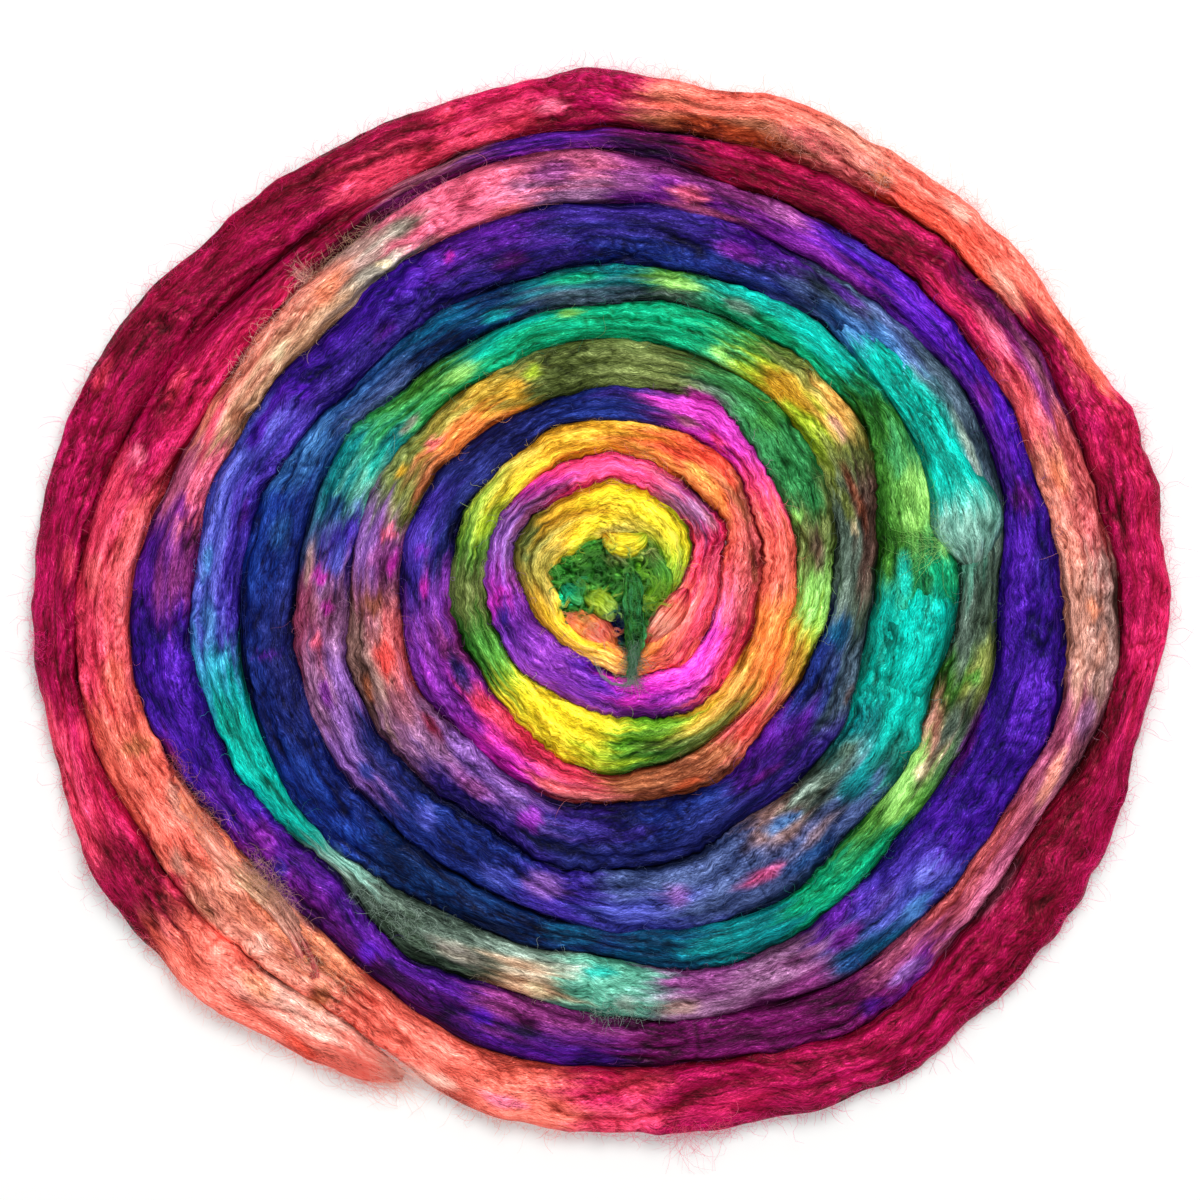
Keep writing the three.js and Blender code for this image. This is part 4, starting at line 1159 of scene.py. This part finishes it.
TANGLES = [                            # bearing, mm from the middle, length and width of the patch in mm, the
    # fibres' heading from outward and its spread, their length in mm, curl and number, dye
    (67, 244, 34, 10, 90, 1.2, 9, 3.2, 120, "peach"), (57, 249, 18, 10, 90, 1.5, 8, 3.5, 90, "pale peach"),
    (205, 234, 40, 7, 180, 0.9, 9, 3.6, 120, "dusty rose"), (222, 227, 44, 7, 180, 0.9, 9, 3.6, 130, "tan"),
    (208, 236, 36, 10, 90, 1.2, 10, 3.2, 100, "tan"), (220, 225, 36, 12, 90, 1.2, 10, 3.2, 170, "tan"),
    (232, 236, 36, 12, 70, 1.2, 10, 3.2, 130, "pale tan"),
    (209, 231, 14, 4, 110, 0.4, 20, 3.4, 26, "peach"),
    (236, 194, 46, 12, 90, 1.4, 9, 3.0, 160, "pale sage"),
    (134, 218, 7, 4, 15, 0.35, 11, 0.8, 60, "pale peach"),
    (118, 217, 50, 5, 0, 1.0, 7, 1.5, 110, "dusty pink"),
    (129, 217, 44, 5, 0, 1.0, 7, 1.5, 110, "pale tan"),
    (143, 216, 60, 5, 0, 1.0, 7, 1.5, 130, "pale peach"),
    (272, 209, 40, 8, 0, 1.2, 7, 2.5, 130, "pale sage"), (8, 168, 8, 10, 180, 0.25, 24, 0.9, 44, "lime"),
    (185, 286, 12, 8, 10, 0.8, 7, 2.5, 90, "crimson"), (324, 278, 8, 6, 0, 1.0, 5, 2.5, 50, "crimson"),
    (278, 268, 14, 5, 0, 0.30, 24, 1.4, 44, "rose"), (281, 270, 8, 5, 14, 0.35, 18, 2.4, 26, "rose"),
    (240, 266, 26, 20, 90, 0.14, 26, 0.3, 200, "coral"),
    (244, 265, 12, 14, 90, 0.20, 20, 0.4, 160, "pale peach"),
]


OVER_TABLE_FROM, GLOWING_FROM = 255, 262   # mm from the middle: tangles that hang over the table, and glow


def tangles(seed):
    """Where the strand was rubbed or torn: knots of curled fibres, and the brush of its outer end."""
    rng = np.random.default_rng(seed)
    every_path, every_colour = [], []
    for degrees, reach, along, width, outward, spread, length, curl, count, name in TANGLES:
        bearing = math.radians(degrees) + rng.uniform(-0.5, 0.5, count) * along / reach
        outward_way = np.stack([np.cos(bearing), np.sin(bearing)], axis=1)
        start = MIDDLE + outward_way * (reach + rng.uniform(-0.5, 0.5, (count, 1)) * width)
        heading = bearing + math.radians(outward) + rng.normal(0, spread, count)
        long = length * rng.uniform(0.5, 1.4, count)
        level = wandering(start, heading, long, rng.normal(0, curl, count), rng)
        level = np.clip(level, -RIM_REACH, RIM_REACH)
        share = np.linspace(0, 1, level.shape[1])[None, :]
        rest = on_map(BRIDGED, level)
        over_table = (on_map(HEIGHT, level) < 0.5) & (reach > OVER_TABLE_FROM)
        rest = np.where(over_table, np.maximum(9 * (1 - share), 0.3), rest)
        arch = rng.gamma(1.5, 0.6, (count, 1)) * np.sin(np.pi * share) + rng.uniform(0.1, 0.8, (count, 1))
        every_path.append(np.concatenate([level, (rest + arch)[..., None]], axis=-1))
        shade = np.broadcast_to(dye(name), (count, 3))
        every_colour.append(glowing(shade, rng, 0.9) if reach > GLOWING_FROM else tint(shade, rng))
    return np.concatenate(every_path), np.concatenate(every_colour)


def clumps(paths, colour, copies, spread, rng):
    """Each path as a lock of several fibres that part towards its ends."""
    count, knots = paths.shape[:2]
    share = np.linspace(-1, 1, knots)[None, None, :, None]
    apart = rng.normal(0, spread, (count, copies, 1, 3)) * (0.6 + 0.8 * share ** 2)
    apart = apart + rng.normal(0, spread * 0.35, (count, copies, knots, 3))
    whole = (paths[:, None] + apart * (1, 1, 0.6)).reshape(-1, knots, 3)
    return whole, tint(np.repeat(colour, copies, axis=0), rng)


def tuft_curls_of(count, seed):
    """Curled locks of fibres all over the tuft, of the dye they lie on."""
    rng = np.random.default_rng(seed)
    angle, reach = rng.uniform(0, 2 * np.pi, count), np.sqrt(rng.uniform(0, 1, count)) * 0.80
    start = TUFT_CENTRE + TUFT_HALF * np.stack([np.cos(angle), np.sin(angle)], axis=1) * reach[:, None]
    heading, length = rng.uniform(0, 6.3, count), rng.uniform(4, 10, count)
    level = wandering(start, heading, length, rng.normal(0, 3.0, count), rng)
    colour = on_map(SHOWN_DYE, start) * 1.25
    return clumps(lying(level, rng, (0, 0.8), 1.2), colour, 10, 0.5, rng)


LONG_LOOP = [                          # mm from the middle, where one long thin lock loops below the tail
    (-9, -32), (-7, -38), (-4, -43), (1, -46), (7, -46.5), (11, -44), (12.5, -40),
]
ALL_OVER, PAST_TIP = 300, 260          # fibres all over the tail, and in the fan past its tip


def tail_fibres(seed):
    """Curly fibres all over the loose end, the thin fan they make past its tip, and one long loop."""
    rng = np.random.default_rng(seed)
    last = len(end_line) - 1
    ahead = np.gradient(end_line[:, :2], axis=0)
    bearing = np.unwrap(np.arctan2(ahead[:, 1], ahead[:, 0]))
    index = np.concatenate([rng.uniform(0, 0.9, ALL_OVER), rng.uniform(0.62, 0.98, PAST_TIP)]) * last
    index = index.astype(int)
    side = np.stack([-np.sin(bearing[index]), np.cos(bearing[index])], axis=1)
    start = end_line[index, :2] + side * (end_radius[index] * rng.uniform(-0.95, 0.95, len(index)))[:, None]
    loose = np.where(np.arange(len(index)) < ALL_OVER, 1.0, 0.22)
    heading = bearing[index] + rng.normal(0, 1, len(index)) * loose
    long = rng.uniform(4, 10, len(index)) + 5 * (loose < 1)
    level = wandering(start, heading, long, rng.normal(0, 1, len(index)) * (0.6 + 2 * loose), rng)
    away = np.linalg.norm(level[:, :, None] - end_line[None, None, :, :2], axis=-1)
    nearest = away.argmin(axis=-1)
    beside = np.clip(away.min(axis=-1) / (1.1 * end_radius[nearest]), 0, 1)
    tail_top = end_line[nearest, 2] + 0.8 * end_radius[nearest] * np.sqrt(1 - beside ** 2)
    rest = np.maximum(np.where(beside < 1, tail_top, 0), on_map(HEIGHT, level) + 0.3)
    paths = np.concatenate([level, (rest + rng.uniform(0.1, 0.9, (len(index), 1)))[..., None]], axis=-1)
    greens = np.array([dye(name) for name in ("forest", "green", "leaf", "green", "pale sage", "sage")])
    kind = np.where(loose < 1, rng.integers(3, 6, len(index)), rng.integers(0, 4, len(index)))
    loop = MIDDLE + smooth_rows(LONG_LOOP, 1)[0]
    loop = loop[np.linspace(0, len(loop) - 1, level.shape[1]).astype(int)]
    loop = np.concatenate([loop, (on_map(BRIDGED, loop) + 0.6)[:, None]], axis=1)[None]
    loop, loop_colour = clumps(loop, dye("pale sage")[None] * 0.8, 18, 0.6, rng)
    return np.concatenate([paths, loop]), np.concatenate([tint(greens[kind], rng), loop_colour])


fibre_silk = silk_material("loose silk fibre", streaks=0.4, painted_shade_depth=0.0, bump=0.02 * MM, lustre=0.1)
FIBRES = {
    "surface_fibres": surface_fibres(strand_skin, 3000, 201),
    "groove_fuzz_outer": groove_fuzz(0, len(strand_points) // 2, 2500, 203),
    "groove_fuzz_inner": groove_fuzz(len(strand_points) // 2, len(strand_points) - 1, 2500, 206),
    "rim_halo": rim_halo(4200, 204),
    "tuft_curls": tuft_curls_of(210, 205),
    "tangles": tangles(207),
    "tail_fibres": tail_fibres(208),
}
for name, (paths, colour) in FIBRES.items():
    radius = FIBRE_RADIUS * np.random.default_rng(len(paths)).uniform(0.5, 1.3, len(paths))
    part_of_coil(threads(name, paths, radius, colour), fibre_silk)


# ---- The table and the light ----------------------------------------------------------------
# A plain pale table of the kind that glows a little from within, and soft studio light from above.
TABLE_REACH = 3.0                      # m from its middle to each side
table_corners = [(x * TABLE_REACH, y * TABLE_REACH, 0) for x, y in ((-1, -1), (1, -1), (1, 1), (-1, 1))]
table_mesh = bpy.data.meshes.new("table")
table_mesh.from_pydata(table_corners, [], [(0, 1, 2, 3)])
table = bpy.data.objects.new("table", table_mesh)
bpy.context.scene.collection.objects.link(table)
table_paint = bpy.data.materials.new("pale table")
table_paint.use_nodes = True
table_body = table_paint.node_tree.nodes["Principled BSDF"]
table_body.inputs["Base Color"].default_value = (0.77, 0.78, 0.77, 1)
table_body.inputs["Roughness"].default_value = 0.8
table_body.inputs["Specular IOR Level"].default_value = 0.2
table_body.inputs["Emission Color"].default_value = (1, 1, 0.99, 1)
table_body.inputs["Emission Strength"].default_value = 0.22
table_mesh.materials.append(table_paint)


def soft_light(name, place, size, power):
    """A square studio light that faces the middle of the coil: place and size in m, power in watts."""
    light = bpy.data.lights.new(name, "AREA")
    light.shape = "SQUARE"
    light.size = size
    light.energy = power
    holder = bpy.data.objects.new(name, light)
    holder.location = place
    holder.rotation_euler = (-mathutils.Vector(place)).to_track_quat("-Z", "Y").to_euler()
    bpy.context.scene.collection.objects.link(holder)


soft_light("key light", (0.45, 1.1, 2.0), 1.2, 41)
soft_light("fill light", (-1.2, -0.8, 1.5), 1.2, 6)
world = bpy.data.worlds.new("studio")
world.use_nodes = True
world.node_tree.nodes["Background"].inputs["Color"].default_value = (1, 1, 1, 1)
world.node_tree.nodes["Background"].inputs["Strength"].default_value = 0.42
bpy.context.scene.world = world
bpy.context.scene.view_settings.view_transform = "Standard"
